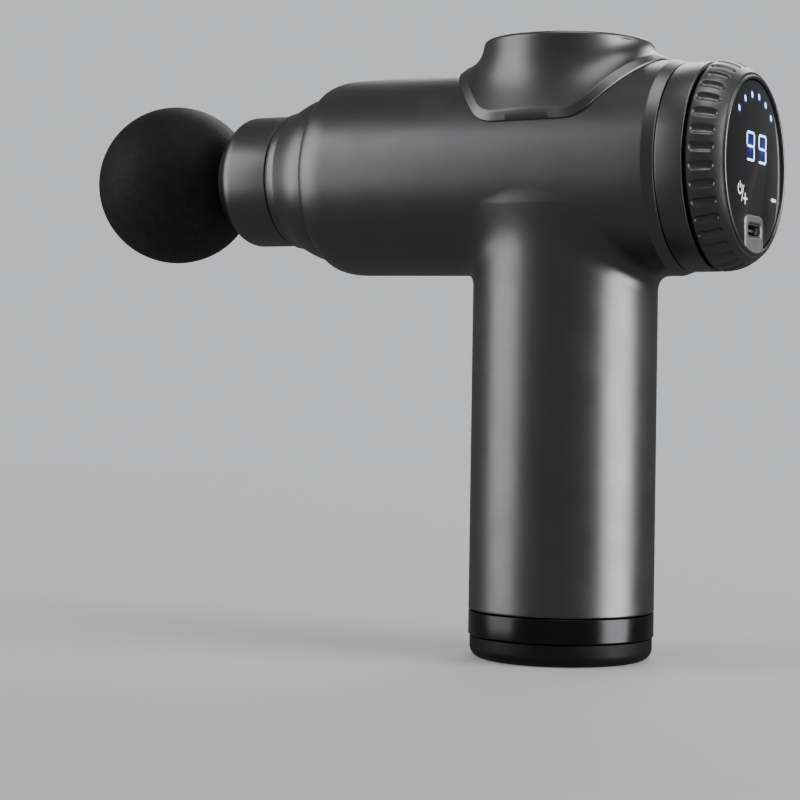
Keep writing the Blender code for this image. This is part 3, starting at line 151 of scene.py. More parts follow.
def filleted(points, size=0.3 * MM, closed=False, steps=4):
    """The (along, radius) outline with its corners rounded; a third number on a point is its own size."""
    count = len(points)
    found = []
    for index, point in enumerate(points):
        here = np.array(point[:2])
        reach = point[2] if len(point) > 2 else size
        inside = closed or 0 < index < count - 1
        if not inside or reach <= 0.0:
            found.append(tuple(here))
            continue
        before = np.array(points[index - 1][:2]) - here
        after = np.array(points[(index + 1) % count][:2]) - here
        lengths = np.linalg.norm(before), np.linalg.norm(after)
        reach = min(reach, 0.45 * lengths[0], 0.45 * lengths[1])
        start = here + before / lengths[0] * reach
        end = here + after / lengths[1] * reach
        for step in range(steps + 1):
            t = step / steps
            found.append(tuple((1 - t) ** 2 * start + 2 * t * (1 - t) * here + t**2 * end))
    return found


def arc(centre, radii, first, last, steps):
    """Points on an ellipse's arc in the (along, radius) plane, angles in degrees from +along."""
    angles = np.radians(np.linspace(first, last, steps + 1))
    return [(centre[0] + radii[0] * math.cos(a), centre[1] + radii[1] * math.sin(a)) for a in angles]


def add_turned(bm, outline, axis="X", closed=False, segments=SEGMENTS, offset=None):
    """Adds the surface that an outline sweeps about the barrel's or the handle's axis."""
    rows = []
    for along, radius in outline:
        if radius < 1e-7:
            place = (along, 0.0, AXIS_Z) if axis == "X" else (0.0, 0.0, along)
            rows.append([bm.verts.new(place)] * segments)
            continue
        row = []
        for segment in range(segments):
            angle = TAU * segment / segments
            out = radius + (offset(along, radius, angle) if offset else 0.0)
            across, up = out * math.sin(angle), out * math.cos(angle)
            place = (along, across, AXIS_Z + up) if axis == "X" else (up, across, along)
            row.append(bm.verts.new(place))
        rows.append(row)
    pairs = list(zip(rows, rows[1:]))
    if closed:
        pairs.append((rows[-1], rows[0]))
    for row, following in pairs:
        for segment in range(segments):
            turn = (segment + 1) % segments
            corners = [row[segment], row[turn], following[turn], following[segment]]
            distinct = list(dict.fromkeys(corners))
            if len(distinct) > 2:
                bm.faces.new(distinct)


def to_piece(name, bm, look, body, nodes=()):
    """A smooth painted piece from this bmesh, riding on its body and standing for its CAD nodes."""
    bmesh.ops.recalc_face_normals(bm, faces=bm.faces)
    mesh = bpy.data.meshes.new(name)
    bm.to_mesh(mesh)
    bm.free()
    mesh.shade_smooth()
    mesh.set_sharp_from_angle(angle=SHARP_ANGLE)
    piece = bpy.data.objects.new(name, mesh)
    piece.data.materials.append(look)
    bpy.context.scene.collection.objects.link(piece)
    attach(piece, body)
    if nodes:
        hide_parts(*nodes)
    return piece


def turned_piece(name, outline, look, body, node, axis="X", closed=False):
    bm = bmesh.new()
    add_turned(bm, outline, axis, closed)
    return to_piece(name, bm, look, body, [node])


def across_x(loop, x):
    """Places (y, z) points, given from the barrel's axis, at this x."""
    return [(x, y, AXIS_Z + z) for y, z in loop]


def add_loops(bm, loops):
    """Joins equal loops of points with faces, one after the other."""
    rings = [[bm.verts.new(point) for point in loop] for loop in loops]
    for ring, following in zip(rings, rings[1:]):
        for index in range(len(ring)):
            turn = (index + 1) % len(ring)
            bm.faces.new((ring[index], ring[turn], following[turn], following[index]))
    return rings


def add_plate(bm, loop, low_x, high_x, edge=0.0):
    """Adds a plate across X from a loop of (y, z) points, with a bevelled front."""
    loops = [across_x(loop, low_x), across_x(loop, high_x - edge)]
    if edge:
        points = np.array(loop)
        outward = points - points.mean(axis=0)
        outward /= np.linalg.norm(outward, axis=1)[:, None]
        loops.append(across_x(points - outward * edge, high_x))
    rings = add_loops(bm, loops)
    bm.faces.new(rings[0])
    bm.faces.new(rings[-1])


# --- Materials ------------------------------------------------------------------------------------


class Surface:
    """A Principled material and the few nodes that its patterns share."""

    def __init__(self, name, colour, roughness, metallic=0.0, **constants):
        self.material = bpy.data.materials.new(name)
        self.material.use_nodes = True
        self.nodes = self.material.node_tree.nodes
        self.links = self.material.node_tree.links
        self.shader = self.nodes["Principled BSDF"]
        self.colour = colour
        self.shader.inputs["Base Color"].default_value = (*colour, 1.0)
        self.shader.inputs["Roughness"].default_value = roughness
        self.shader.inputs["Metallic"].default_value = metallic
        for socket, value in constants.items():
            self.shader.inputs[socket.replace("_", " ")].default_value = value
        self.place = self.nodes.new("ShaderNodeTexCoord").outputs["Object"]
        self.relief = None

    def scaled(self, stretch):
        mapping = self.nodes.new("ShaderNodeMapping")
        mapping.inputs["Scale"].default_value = stretch
        self.links.new(self.place, mapping.inputs["Vector"])
        return mapping.outputs["Vector"]

    def noise(self, size, detail=3.0, stretch=(1.0, 1.0, 1.0)):
        """Noise whose features are about this size in metres."""
        node = self.nodes.new("ShaderNodeTexNoise")
        node.inputs["Scale"].default_value = 1.0 / size
        node.inputs["Detail"].default_value = detail
        self.links.new(self.scaled(stretch), node.inputs["Vector"])
        return node.outputs["Fac"]

    def cells(self, size):
        """Rounded cells of about this size in metres."""
        node = self.nodes.new("ShaderNodeTexVoronoi")
        node.feature = "SMOOTH_F1"
        node.inputs["Scale"].default_value = 1.0 / size
        self.links.new(self.place, node.inputs["Vector"])
        return node.outputs["Distance"]

    def bands(self, size, direction, distortion=0.0):
        """Sine bands of about this spacing in metres across a direction."""
        node = self.nodes.new("ShaderNodeTexWave")
        node.bands_direction = direction
        node.inputs["Scale"].default_value = 0.314 / size
        node.inputs["Distortion"].default_value = distortion
        self.links.new(self.place, node.inputs["Vector"])
        return node.outputs["Fac"]

    def falloff(self, centre, radii):
        """1 at a centre, falling smoothly to 0 at these radii from it."""
        mapping = self.nodes.new("ShaderNodeMapping")
        mapping.vector_type = "TEXTURE"
        mapping.inputs["Location"].default_value = centre
        mapping.inputs["Scale"].default_value = radii
        self.links.new(self.place, mapping.inputs["Vector"])
        gradient = self.nodes.new("ShaderNodeTexGradient")
        gradient.gradient_type = "QUADRATIC_SPHERE"
        self.links.new(mapping.outputs["Vector"], gradient.inputs["Vector"])
        return gradient.outputs["Fac"]

    def ranged(self, value, low, high, start=0.35, end=0.65):
        node = self.nodes.new("ShaderNodeMapRange")
        for socket, number in (("From Min", start), ("From Max", end), ("To Min", low), ("To Max", high)):
            node.inputs[socket].default_value = number
        self.links.new(value, node.inputs["Value"])
        return node.outputs["Result"]

    def greater(self, first, second):
        node = self.nodes.new("ShaderNodeMath")
        node.operation = "MAXIMUM"
        self.links.new(first, node.inputs[0])
        self.links.new(second, node.inputs[1])
        return node.outputs["Value"]

    def tint(self, value, other, start=0.35, end=0.65):
        """Runs the base colour to another colour as the value rises."""
        ramp = self.nodes.new("ShaderNodeValToRGB")
        ramp.color_ramp.elements[0].position = start
        ramp.color_ramp.elements[0].color = (*self.colour, 1.0)
        ramp.color_ramp.elements[1].position = end
        ramp.color_ramp.elements[1].color = (*other, 1.0)
        self.links.new(value, ramp.inputs["Fac"])
        self.links.new(ramp.outputs["Color"], self.shader.inputs["Base Color"])
        return self

    def roughness(self, value, low, high):
        self.links.new(self.ranged(value, low, high), self.shader.inputs["Roughness"])
        return self

    def bump(self, value, height, strength=1.0):
        """Adds relief of this height in metres on top of what is there."""
        node = self.nodes.new("ShaderNodeBump")
        node.inputs["Distance"].default_value = height
        node.inputs["Strength"].default_value = strength
        self.links.new(value, node.inputs["Height"])
        if self.relief:
            self.links.new(self.relief, node.inputs["Normal"])
        self.relief = node.outputs["Normal"]
        self.links.new(self.relief, self.shader.inputs["Normal"])
        return self


def lighter(colour, factor):
    return tuple(min(channel * factor, 1.0) for channel in colour)


def grained(
    name, colour, roughness, metallic=0.0, grain=0.25 * MM, height=0.01 * MM, mottle=1.12, **constants
):
    """A plain finish with fine grain, uneven gloss and slight mottling."""
    surface = Surface(name, colour, roughness, metallic, **constants)
    broad = surface.noise(14 * MM, 4.0)
    fine = surface.noise(grain, 2.0)
    surface.tint(broad, lighter(colour, mottle))
    surface.roughness(surface.noise(5 * MM, 5.0), roughness * 0.94, roughness * 1.08)
    return surface.bump(fine, height, 0.6)


def satin_metal():
    """Bead-blasted and anodised gunmetal: very fine sparkle grain and faint handling marks in the gloss."""
    colour = (0.205, 0.205, 0.21)
    surface = Surface("satin_gunmetal", colour, 0.37, 1.0)
    surface.tint(surface.noise(22 * MM, 5.0), lighter(colour, 1.08))
    surface.roughness(surface.noise(9 * MM, 8.0), 0.345, 0.395)
    surface.bump(surface.noise(0.16 * MM, 1.0), 0.0022 * MM, 0.7)
    return surface.bump(surface.noise(1.6 * MM, 3.0), 0.0016 * MM, 0.5).material


def ball_rubber():
    """Soft black rubber with a pebbled skin."""
    colour = (0.010, 0.010, 0.0104)
    surface = Surface("pebbled_rubber", colour, 0.62, 0.0, Specular_IOR_Level=0.28)
    surface.tint(surface.noise(3 * MM, 6.0), lighter(colour, 1.5))
    surface.roughness(surface.noise(0.5 * MM, 3.0), 0.56, 0.72)
    surface.bump(surface.cells(0.62 * MM), 0.09 * MM, 0.55)
    return surface.bump(surface.noise(0.22 * MM, 2.0), 0.02 * MM, 0.5).material


def dark_chrome():
    colour = (0.05, 0.05, 0.052)
    surface = Surface("dark_chrome", colour, 0.24, 1.0)
    surface.tint(surface.noise(12 * MM, 3.0), lighter(colour, 1.15))
    surface.roughness(surface.noise(4 * MM, 9.0), 0.22, 0.26)
    return surface.bump(surface.noise(0.9 * MM, 4.0), 0.0006 * MM, 0.4).material


def brushed(name, colour, roughness, stretch):
    """Turned or rolled metal with hairline tool marks."""
    surface = Surface(name, colour, roughness, 1.0)
    lines = surface.noise(0.3 * MM, 4.0, stretch)
    surface.tint(lines, lighter(colour, 0.82))
    surface.roughness(lines, roughness * 0.8, roughness * 1.25)
    return surface.bump(lines, 0.004 * MM, 0.5).material


def circuit_green():
    """Solder mask over a fine net of tracks."""
    colour = (0.01, 0.075, 0.03)
    surface = Surface("solder_mask", colour, 0.32, 0.0, Coat_Weight=0.3)
    tracks = surface.bands(1.1 * MM, "DIAGONAL", 6.0)
    surface.tint(tracks, (0.03, 0.16, 0.06), 0.55, 0.62)
    surface.roughness(surface.noise(2 * MM), 0.28, 0.4)
    return surface.bump(tracks, 0.02 * MM, 0.7).material


def stator_copper():
    """Enamelled copper wire wound on the teeth."""
    colour = (0.42, 0.14, 0.045)
    surface = Surface("enamelled_copper", colour, 0.35, 0.9)
    turns = surface.bands(0.5 * MM, "Z")
    surface.tint(turns, (0.20, 0.06, 0.02))
    surface.roughness(surface.noise(1 * MM), 0.3, 0.45)
    return surface.bump(turns, 0.12 * MM, 0.8).material


def display_glass():
    """Black glass with two shallow finger dimples, and a painted blue glow on the glass itself round its
    digits and level lights.
    """
    colour = (0.0025, 0.0025, 0.003)
    surface = Surface("display_glass", colour, 0.05, 0.0, Coat_Weight=1.0, Coat_Roughness=0.02)
    surface.tint(surface.noise(6 * MM, 2.0), (0.004, 0.004, 0.0046))
    surface.roughness(surface.noise(3 * MM, 6.0), 0.04, 0.075)
    # Painted glow: the glass emits blue light round each digit and level light, brightest at the middle and
    # falling off outwards.
    painted_glow_spots = [(DIGITS_Y + side * DIGIT_SPACING / 2, DIGITS_Z, 4.4 * MM, 5.4 * MM) for side in (-1, 1)]
    painted_glow_spots += [(y, z, DOT_GLOW, DOT_GLOW) for y, z in dot_places()]
    painted_glow = None
    for y, z, wide, tall in painted_glow_spots:
        spot = surface.falloff((0.0, y, AXIS_Z + z), (1000.0, wide, tall))
        painted_glow = surface.greater(painted_glow, spot) if painted_glow else spot
    emission = surface.nodes.new("ShaderNodeValToRGB")
    emission.color_ramp.elements[0].color = (0.0, 0.0, 0.0, 1.0)
    emission.color_ramp.elements[1].color = (0.006, 0.04, 0.9, 1.0)
    middle = emission.color_ramp.elements.new(0.4)
    middle.color = (0.001, 0.008, 0.16, 1.0)
    surface.links.new(painted_glow, emission.inputs["Fac"])
    surface.links.new(emission.outputs["Color"], surface.shader.inputs["Emission Color"])
    surface.shader.inputs["Emission Strength"].default_value = 1.0
    for y in (PLUS_Y, MINUS_Y):
        dimple = surface.falloff((0.0, y, AXIS_Z + KEY_Z), (1000.0, KEY_RADIUS, KEY_RADIUS))
        surface.bump(dimple, -0.35 * MM, 1.0)
    return surface.material


def lit(name, colour, strength):
    """A lit symbol with slightly uneven brightness."""
    surface = Surface(name, colour, 0.4)
    surface.tint(surface.noise(1.5 * MM), lighter(colour, 0.9))
    surface.shader.inputs["Emission Color"].default_value = (*colour, 1.0)
    surface.shader.inputs["Emission Strength"].default_value = strength
    return surface.material


# --- Housing ----------------------------------------------------------------------------------------


def barrel_radius(x):
    start = BARREL_FRONT_X + SHOULDER_LENGTH
    share = (x - start) / (BARREL_REAR_X - REAR_BEVEL_LENGTH - start)
    return BARREL_FRONT_RADIUS + (BARREL_REAR_RADIUS - BARREL_FRONT_RADIUS) * share


def smooth_least(a, b, size):
    """The lesser of two distances, rounded where they are within size of each other."""
    near = np.maximum(size - np.abs(a - b), 0.0) / size
    return np.minimum(a, b) - near * near * size / 4


def housing_distance(points):
    """About how far points are outside the barrel and handle, whose corner is rounded."""
    x, y, z = points[:, 0], points[:, 1], points[:, 2] - AXIS_Z
    from_barrel = np.hypot(y, z) - barrel_radius(x)
    from_handle = np.maximum(np.hypot(x, y) - HANDLE_RADIUS, z + HANDLE_TOP_DROP)
    fade = np.clip((-z - BLEND_END_DROP) / (4 * BLEND_END_DROP), 0.02, 1.0)
    return smooth_least(from_barrel, from_handle, BLEND_SIZE * fade)


def cover_distance(points):
    """About how far points are outside the cover's flared skin."""
    x, y, z = points[:, 0], points[:, 1], points[:, 2] - AXIS_Z
    from_wall = np.hypot(x, y) - COVER_RADIUS
    from_skirt = np.hypot(y, z) - barrel_radius(x) - COVER_PROUD
    return smooth_least(from_wall, from_skirt, COVER_BLEND)


def slope(points, distance):
    """The distance's slope at each point."""
    step = 0.01 * MM
    steps = np.eye(3) * step
    columns = [(distance(points + side) - distance(points - side)) / (2 * step) for side in steps]
    return np.stack(columns, axis=1)


def slid_to_surface(points, distance, rounds=6):
    """The points, moved along the distance's slope until they lie on the surface."""
    for _ in range(rounds):
        rise = slope(points, distance)
        steep = np.maximum((rise**2).sum(axis=1), 0.2)
        points = points - rise * (distance(points) / steep)[:, None]
    return points


def remeshed_tee():
    """An even mesh of the barrel and handle, a little longer than both at each end."""
    overrun = 4 * MM
    bm = bmesh.new()
    front, rear = BARREL_FRONT_X + SHOULDER_LENGTH - overrun, BARREL_REAR_X + overrun
    barrel = [(front, 0.0), (front, barrel_radius(front)), (rear, barrel_radius(rear)), (rear, 0.0)]
    bottom, top = HOUSING_LOW.z - overrun, AXIS_Z - HANDLE_TOP_DROP
    handle = [(bottom, 0.0), (bottom, HANDLE_RADIUS), (top, HANDLE_RADIUS), (top, 0.0)]
    add_turned(bm, barrel, "X")
    add_turned(bm, handle, "Z")
    bmesh.ops.recalc_face_normals(bm, faces=bm.faces)
    mesh = bpy.data.meshes.new("tee")
    bm.to_mesh(mesh)
    bm.free()
    blank = bpy.data.objects.new("tee", mesh)
    bpy.context.scene.collection.objects.link(blank)
    remesh = blank.modifiers.new("remesh", "REMESH")
    remesh.mode = "VOXEL"
    remesh.voxel_size = VOXEL_SIZE
    graph = bpy.context.evaluated_depsgraph_get()
    found = bpy.data.meshes.new_from_object(blank.evaluated_get(graph))
    bpy.data.objects.remove(blank, do_unlink=True)
    return found


def extend_rim(bm, on_rim, placed, profile):
    """Draws the open edge that on_rim picks out along a profile, ring by ring."""
    edges = [edge for edge in bm.edges if edge.is_boundary and all(on_rim(v.co) for v in edge.verts)]
    for vertex in {vertex for edge in edges for vertex in edge.verts}:
        vertex.co = placed(vertex.co, *profile[0])
    for along, radius in profile[1:]:
        made = bmesh.ops.extrude_edge_only(bm, edges=edges)["geom"]
        for vertex in made:
            if isinstance(vertex, bmesh.types.BMVert):
                vertex.co = placed(vertex.co, along, radius)
        edges = [edge for edge in made if isinstance(edge, bmesh.types.BMEdge) and edge.is_boundary]


def on_barrel_ring(point, along, radius):
    out = Vector((0.0, point.y, point.z - AXIS_Z)).normalized() * radius
    return Vector((along, out.y, AXIS_Z + out.z))


def on_handle_ring(point, along, radius):
    out = Vector((point.x, point.y, 0.0)).normalized() * radius
    return Vector((out.x, out.y, along))


def barrel_front_profile(start):
    centre = (BARREL_FRONT_X + SHOULDER_LENGTH, BARREL_FRONT_RADIUS - SHOULDER_DROP)
    shoulder = arc(centre, (SHOULDER_LENGTH, SHOULDER_DROP), 90, 180, 14)
    wall = centre[1] - SHELL_WALL
    corners = [*shoulder[-2:], (BARREL_FRONT_X, wall), (BARREL_FRONT_X + 6 * MM, wall)]
    return [(start, barrel_radius(start)), *shoulder[:-2], *filleted(corners, 0.2 * MM)]


def barrel_rear_profile(start):
    bevel = BARREL_REAR_X - REAR_BEVEL_LENGTH
    end = BARREL_REAR_RADIUS - REAR_BEVEL_DROP
    corners = [
        (start, barrel_radius(start)),
        (bevel, BARREL_REAR_RADIUS),
        (BARREL_REAR_X, end),
        (BARREL_REAR_X, end - SHELL_WALL),
        (BARREL_REAR_X - 6 * MM, end - SHELL_WALL),
    ]
    return filleted(corners, 0.22 * MM)


def cut_off(bm, place, facing):
    """Removes what lies past a plane."""
    everything = bm.verts[:] + bm.edges[:] + bm.faces[:]
    bmesh.ops.bisect_plane(bm, geom=everything, plane_co=place, plane_no=facing, clear_outer=True, dist=1e-7)


def make_housing(look):
    """Barrel and handle as one fine surface, with a thickness at its open ends and a hole for the motor."""
    mesh = remeshed_tee()
    points = np.empty(len(mesh.vertices) * 3, np.float32)
    mesh.vertices.foreach_get("co", points)
    points = slid_to_surface(points.reshape(-1, 3).astype(float), housing_distance)
    mesh.vertices.foreach_set("co", points.astype(np.float32).ravel())
    bm = bmesh.new()
    bm.from_mesh(mesh)
    front = BARREL_FRONT_X + SHOULDER_LENGTH + 0.5 * MM
    rear = BARREL_REAR_X - REAR_BEVEL_LENGTH - 0.5 * MM
    bottom = HOUSING_LOW.z + 0.8 * MM
    cut_off(bm, (front, 0, 0), (-1, 0, 0))
    cut_off(bm, (rear, 0, 0), (1, 0, 0))
    cut_off(bm, (0, 0, bottom), (0, 0, -1))
    hole = COVER_RADIUS - 1.5 * MM
    middles = [(face, face.calc_center_median()) for face in bm.faces]
    under = [face for face, middle in middles if middle.z > AXIS_Z and middle.xy.length < hole]
    bmesh.ops.delete(bm, geom=under, context="FACES")
    near = 1e-6
    extend_rim(bm, lambda p: abs(p.x - front) < near, on_barrel_ring, barrel_front_profile(front))
    extend_rim(bm, lambda p: abs(p.x - rear) < near, on_barrel_ring, barrel_rear_profile(rear))
    wall = HANDLE_RADIUS - SHELL_WALL
    corners = [
        (bottom, HANDLE_RADIUS),
        (HOUSING_LOW.z, HANDLE_RADIUS),
        (HOUSING_LOW.z, wall),
        (bottom + 4 * MM, wall),
    ]
    extend_rim(bm, lambda p: abs(p.z - bottom) < near, on_handle_ring, filleted(corners))
    piece = to_piece("housing_shell", bm, look, "housing", ["main_housing"])
    give_exact_normals(piece.data, front, rear, bottom)
    return piece


def give_exact_normals(mesh, front, rear, bottom):
    """Sets each vertex's normal from the surface's formula, so that gloss doesn't show the mesh."""
    count = len(mesh.vertices)
    points = np.empty(count * 3, np.float32)
    normals = np.empty(count * 3, np.float32)
    mesh.vertices.foreach_get("co", points)
    mesh.vertices.foreach_get("normal", normals)
    points, normals = points.reshape(-1, 3).astype(float), normals.reshape(-1, 3)
    exact = slope(points, housing_distance)
    exact /= np.linalg.norm(exact, axis=1)[:, None]
    on_surface = np.abs(housing_distance(points)) < 0.02 * MM
    x, z = points[:, 0], points[:, 2]
    within = (x >= front - 1e-6) & (x <= rear + 1e-6) & (z >= bottom - 1e-6)
    normals[on_surface & within] = exact[on_surface & within]
    mesh.normals_split_custom_set_from_vertices(normals.tolist())


# --- Motor cover ------------------------------------------------------------------------------------


def cover_edge(azimuth):
    """The skirt's edge, unrolled from the barrel: (x, arc length from the top line)."""
    radius = barrel_radius(0.0)
    side = math.sqrt(radius**2 - COVER_SKIRT_DROP**2)
    across = abs(math.sin(azimuth))
    reach = COVER_OUTLINE_RADIUS
    if across > 1e-6:
        reach = float(smooth_least(reach, side / across, 2 * MM))
    y = min(reach * across, side)
    return reach * math.cos(azimuth), math.copysign(radius * math.asin(y / radius), math.sin(azimuth))


def on_barrel(x, arc_length, height):
    """A point this high above the barrel's skin."""
    angle = arc_length / barrel_radius(0.0)
    radius = barrel_radius(x) + height
    return np.array((x, radius * math.sin(angle), AXIS_Z + radius * math.cos(angle)))


def cover_top_points(out, up):
    """Points from near the cover's middle over its shallow dome and round its rim."""
    top = AXIS_Z + COVER_TOP
    flat = COVER_RADIUS - COVER_RIM_ROUND
    shares = (0.15, 0.3, 0.5, 0.7, 0.85, 0.95)
    points = [out * flat * share + up * (top + COVER_DOME * (1 - share**2)) for share in shares]
    for angle in np.radians(np.linspace(90, 0, 8)):
        radius = flat + COVER_RIM_ROUND * math.cos(angle)
        points.append(out * radius + up * (top - COVER_RIM_ROUND * (1 - math.sin(angle))))
    return points


def rounded_corner(before, corner, after, size):
    """Four points that round a corner between its two neighbours."""
    back, onward = before - corner, after - corner
    start = corner + back / np.linalg.norm(back) * min(size, 0.45 * np.linalg.norm(back))
    end = corner + onward / np.linalg.norm(onward) * size
    shares = np.linspace(0, 1, 4)
    return [(1 - t) ** 2 * start + 2 * t * (1 - t) * corner + t**2 * end for t in shares]


def cover_section(azimuth):
    """Points from the cover's top down its skin, round its bevelled edge and back up its inside."""
    out = np.array((math.cos(azimuth), math.sin(azimuth), 0.0))
    up = np.array((0.0, 0.0, 1.0))
    section = cover_top_points(out, up)
    foot = section[-1]
    edge_place = np.array(cover_edge(azimuth))
    bevel_place = edge_place * (1 - COVER_BEVEL / np.linalg.norm(edge_place))
    bevel_top = on_barrel(*bevel_place, COVER_PROUD)
    shares = np.arange(1, COVER_ROWS + 1)[:, None] / COVER_ROWS
    section += list(slid_to_surface(foot + (bevel_top - foot) * shares, cover_distance))
    lip_height, seat_height = 0.35 * MM, 0.12 * MM
    lip = on_barrel(*edge_place, lip_height)
    corner = section.pop()
    section += rounded_corner(section[-1], corner, lip, 0.35 * MM)
    section += [lip + (section[-1] - lip) * 0.06, on_barrel(*edge_place, seat_height)]
    bore = COVER_RADIUS - COVER_WALL
    radius = barrel_radius(0.0)
    inner_place = np.array((bore * out[0], radius * math.asin(bore * out[1] / radius)))
    for share in (0.15, 0.5, 1.0):
        section.append(on_barrel(*(edge_place + (inner_place - edge_place) * share), seat_height))
    section.append(out * bore + up * (AXIS_Z + COVER_TOP - COVER_INNER_DROP))
    return section


def make_motor_cover(look):
    bm = bmesh.new()
    azimuths = [TAU * (side + 0.5) / COVER_AZIMUTHS for side in range(COVER_AZIMUTHS)]
    sections = np.array([cover_section(azimuth) for azimuth in azimuths])
    rings = add_loops(bm, [sections[:, row] for row in range(sections.shape[1])])
    for row, height in ((0, COVER_TOP + COVER_DOME), (-1, COVER_TOP - COVER_INNER_DROP)):
        pole = bm.verts.new((0.0, 0.0, AXIS_Z + height))
        for index in range(COVER_AZIMUTHS):
            bm.faces.new((pole, rings[row][index], rings[row][(index + 1) % COVER_AZIMUTHS]))
    return to_piece("cover_shell", bm, look, "housing", ["motor_cover"])


# --- Nose -------------------------------------------------------------------------------------------


def make_front_sleeve(look):
    """Stepped sleeve: a bevelled lip, a straight band and a flare that meets the barrel."""
    front = SLEEVE_LOW.x
    rear = BARREL_FRONT_X - GAP
    narrow, bore = 18.8 * MM, 17.5 * MM
    wide = BARREL_FRONT_RADIUS - SHOULDER_DROP - 1.3 * MM
    spigot = BARREL_FRONT_RADIUS - SHOULDER_DROP - SHELL_WALL - GAP
    flare_x = front + 2.6 * MM
    steps = 28
    flare = []
    for step in range(steps + 1):
        share = step / steps
        rise = math.sin(share * math.pi / 2) ** 1.1
        flare.append((flare_x + (rear - flare_x) * share, narrow + (wide - narrow) * rise, 0.0))
    corners = [
        (front, bore),
        (front, narrow - 0.8 * MM, 0.15 * MM),
        (front + 1.2 * MM, narrow, 0.2 * MM),
        *flare[:-1],
        (*flare[-1][:2], 0.25 * MM),
        (rear, spigot),
        (SLEEVE_HIGH.x, spigot),
        (SLEEVE_HIGH.x, bore),
    ]
    outline = filleted(corners, 0.2 * MM, closed=True)
    return turned_piece("sleeve_shell", outline, look, "housing", "front_sleeve", closed=True)


def make_nose_collar(look):
    """Nose tube with a rounded mouth and a flange behind the sleeve."""
    front, rear = COLLAR_LOW.x, COLLAR_HIGH.x
    outer, inside, mouth = 18.0 * MM, 17.2 * MM, 14.6 * MM
    bush, flange = 16.4 * MM, 21.5 * MM
    rounding = arc((front + 4.0 * MM, outer - 3.1 * MM), (4.0 * MM, 3.1 * MM), 180, 90, 16)
    corners = [
        (front, mouth, 0.1 * MM),
        *[(x, max(r, mouth + 0.2 * MM), 0.0) for x, r in rounding],
        (SLEEVE_LOW.x - GAP, outer),
        (SLEEVE_LOW.x - GAP, inside),
        (rear - 2.4 * MM, inside),
        (rear - 2.4 * MM, flange),
        (rear, flange),
        (rear, bush),
        (front + 3.7 * MM, bush),
        (front + 3.7 * MM, mouth),
    ]
    outline = filleted(corners, 0.2 * MM, closed=True)
    return turned_piece("collar_shell", outline, look, "housing", "nose_collar", closed=True)


# --- Massage head -----------------------------------------------------------------------------------


def make_massage_ball(look):
    """Hollow ball with a rounded mouth round the stem's core."""
    radius = BALL_HIGH.y
    middle = BALL_LOW.x + radius
    mouth = 8.3 * MM
    inner = radius - 5.0 * MM
    outside_end = math.degrees(math.asin(mouth / radius)) + 2
    inside_start = math.degrees(math.asin(mouth / inner))
    outside = arc((middle, 0.0), (radius, radius), 180, outside_end, 96)
    inside = arc((middle, 0.0), (inner, inner), inside_start, 180, 24)
    neck = [(middle + math.sqrt(radius**2 - mouth**2) - 0.5 * MM, mouth)]
    outline = [(outside[0][0], 0.0), *outside[1:], *neck, *inside[:-1], (inside[-1][0], 0.0)]
    return turned_piece("ball_skin", outline, look, "massage_head", "massage_ball")


def make_head_stem(look):
    """Barbed core, flange and plug with a groove for the O-ring."""
    front = COLLAR_LOW.x - 2.3 * MM
    flange_rear = COLLAR_LOW.x + 3.4 * MM
    end = STEM_HIGH.x
    groove = (ORING_LOW.x + ORING_HIGH.x) / 2
    half, floor, plug, core = 1.3 * MM, 8.2 * MM, 9.5 * MM, 8.0 * MM
    barb, flange = 10.0 * MM, 14.3 * MM
    corners = [
        (STEM_LOW.x, 0.0),
        (STEM_LOW.x, core),
        (STEM_LOW.x + 1.5 * MM, barb),
        (STEM_LOW.x + 3.0 * MM, barb),
        (STEM_LOW.x + 3.0 * MM, core),
        (front, core),
        (front, flange - 0.4 * MM),
        (front + 0.5 * MM, flange),
        (flange_rear, flange),
        (flange_rear, plug),
        (groove - half, plug),
        (groove - half, floor),
        (groove + half, floor),
        (groove + half, plug),
        (end - 1.0 * MM, plug),
        (end, plug - 1.0 * MM),
        (end, 0.0),
    ]
    outline = filleted(corners, 0.25 * MM)
    return turned_piece("stem_body", outline, look, "massage_head", "head_stem")


def make_o_ring(look):
    centre = ((ORING_LOW.x + ORING_HIGH.x) / 2, 9.05 * MM)
    circle = arc(centre, (0.9 * MM, 0.55 * MM), 0, 360, 24)[:-1]
    return turned_piece("seal_ring", circle, look, "massage_head", "stem_o_ring", "X", True)


# --- Rear end ---------------------------------------------------------------------------------------


def make_trim_ring(look):
    front, rear = BARREL_REAR_X + GAP, TRIM_HIGH.x
    outer = TRIM_HIGH.y
    spigot = outer - SHELL_WALL - GAP
    bore = spigot - SPIGOT_WALL
    flange = BEZEL_FLANGE_RADIUS
    corners = [
        (TRIM_LOW.x, bore),
        (TRIM_LOW.x, spigot),
        (front, spigot),
        (front, outer, 0.25 * MM),
        (rear, outer, 0.35 * MM),
        (rear, flange),
        (rear - 1.8 * MM, flange),
        (rear - 1.8 * MM, bore),
    ]
    outline = filleted(corners, 0.2 * MM, closed=True)
    return turned_piece("trim_shell", outline, look, "housing", "rear_trim_ring", closed=True)


def bezel_flank(share):
    """Outer (x, radius) of the bezel, from its edge at the trim ring (0) to its rim (1)."""
    rim = LENS_RADIUS + GAP + 1.0 * MM
    x = BEZEL_LOW.x + (BEZEL_HIGH.x - BEZEL_LOW.x) * share
    return x, TRIM_HIGH.y - (TRIM_HIGH.y - rim) * share**BEZEL_CURVE


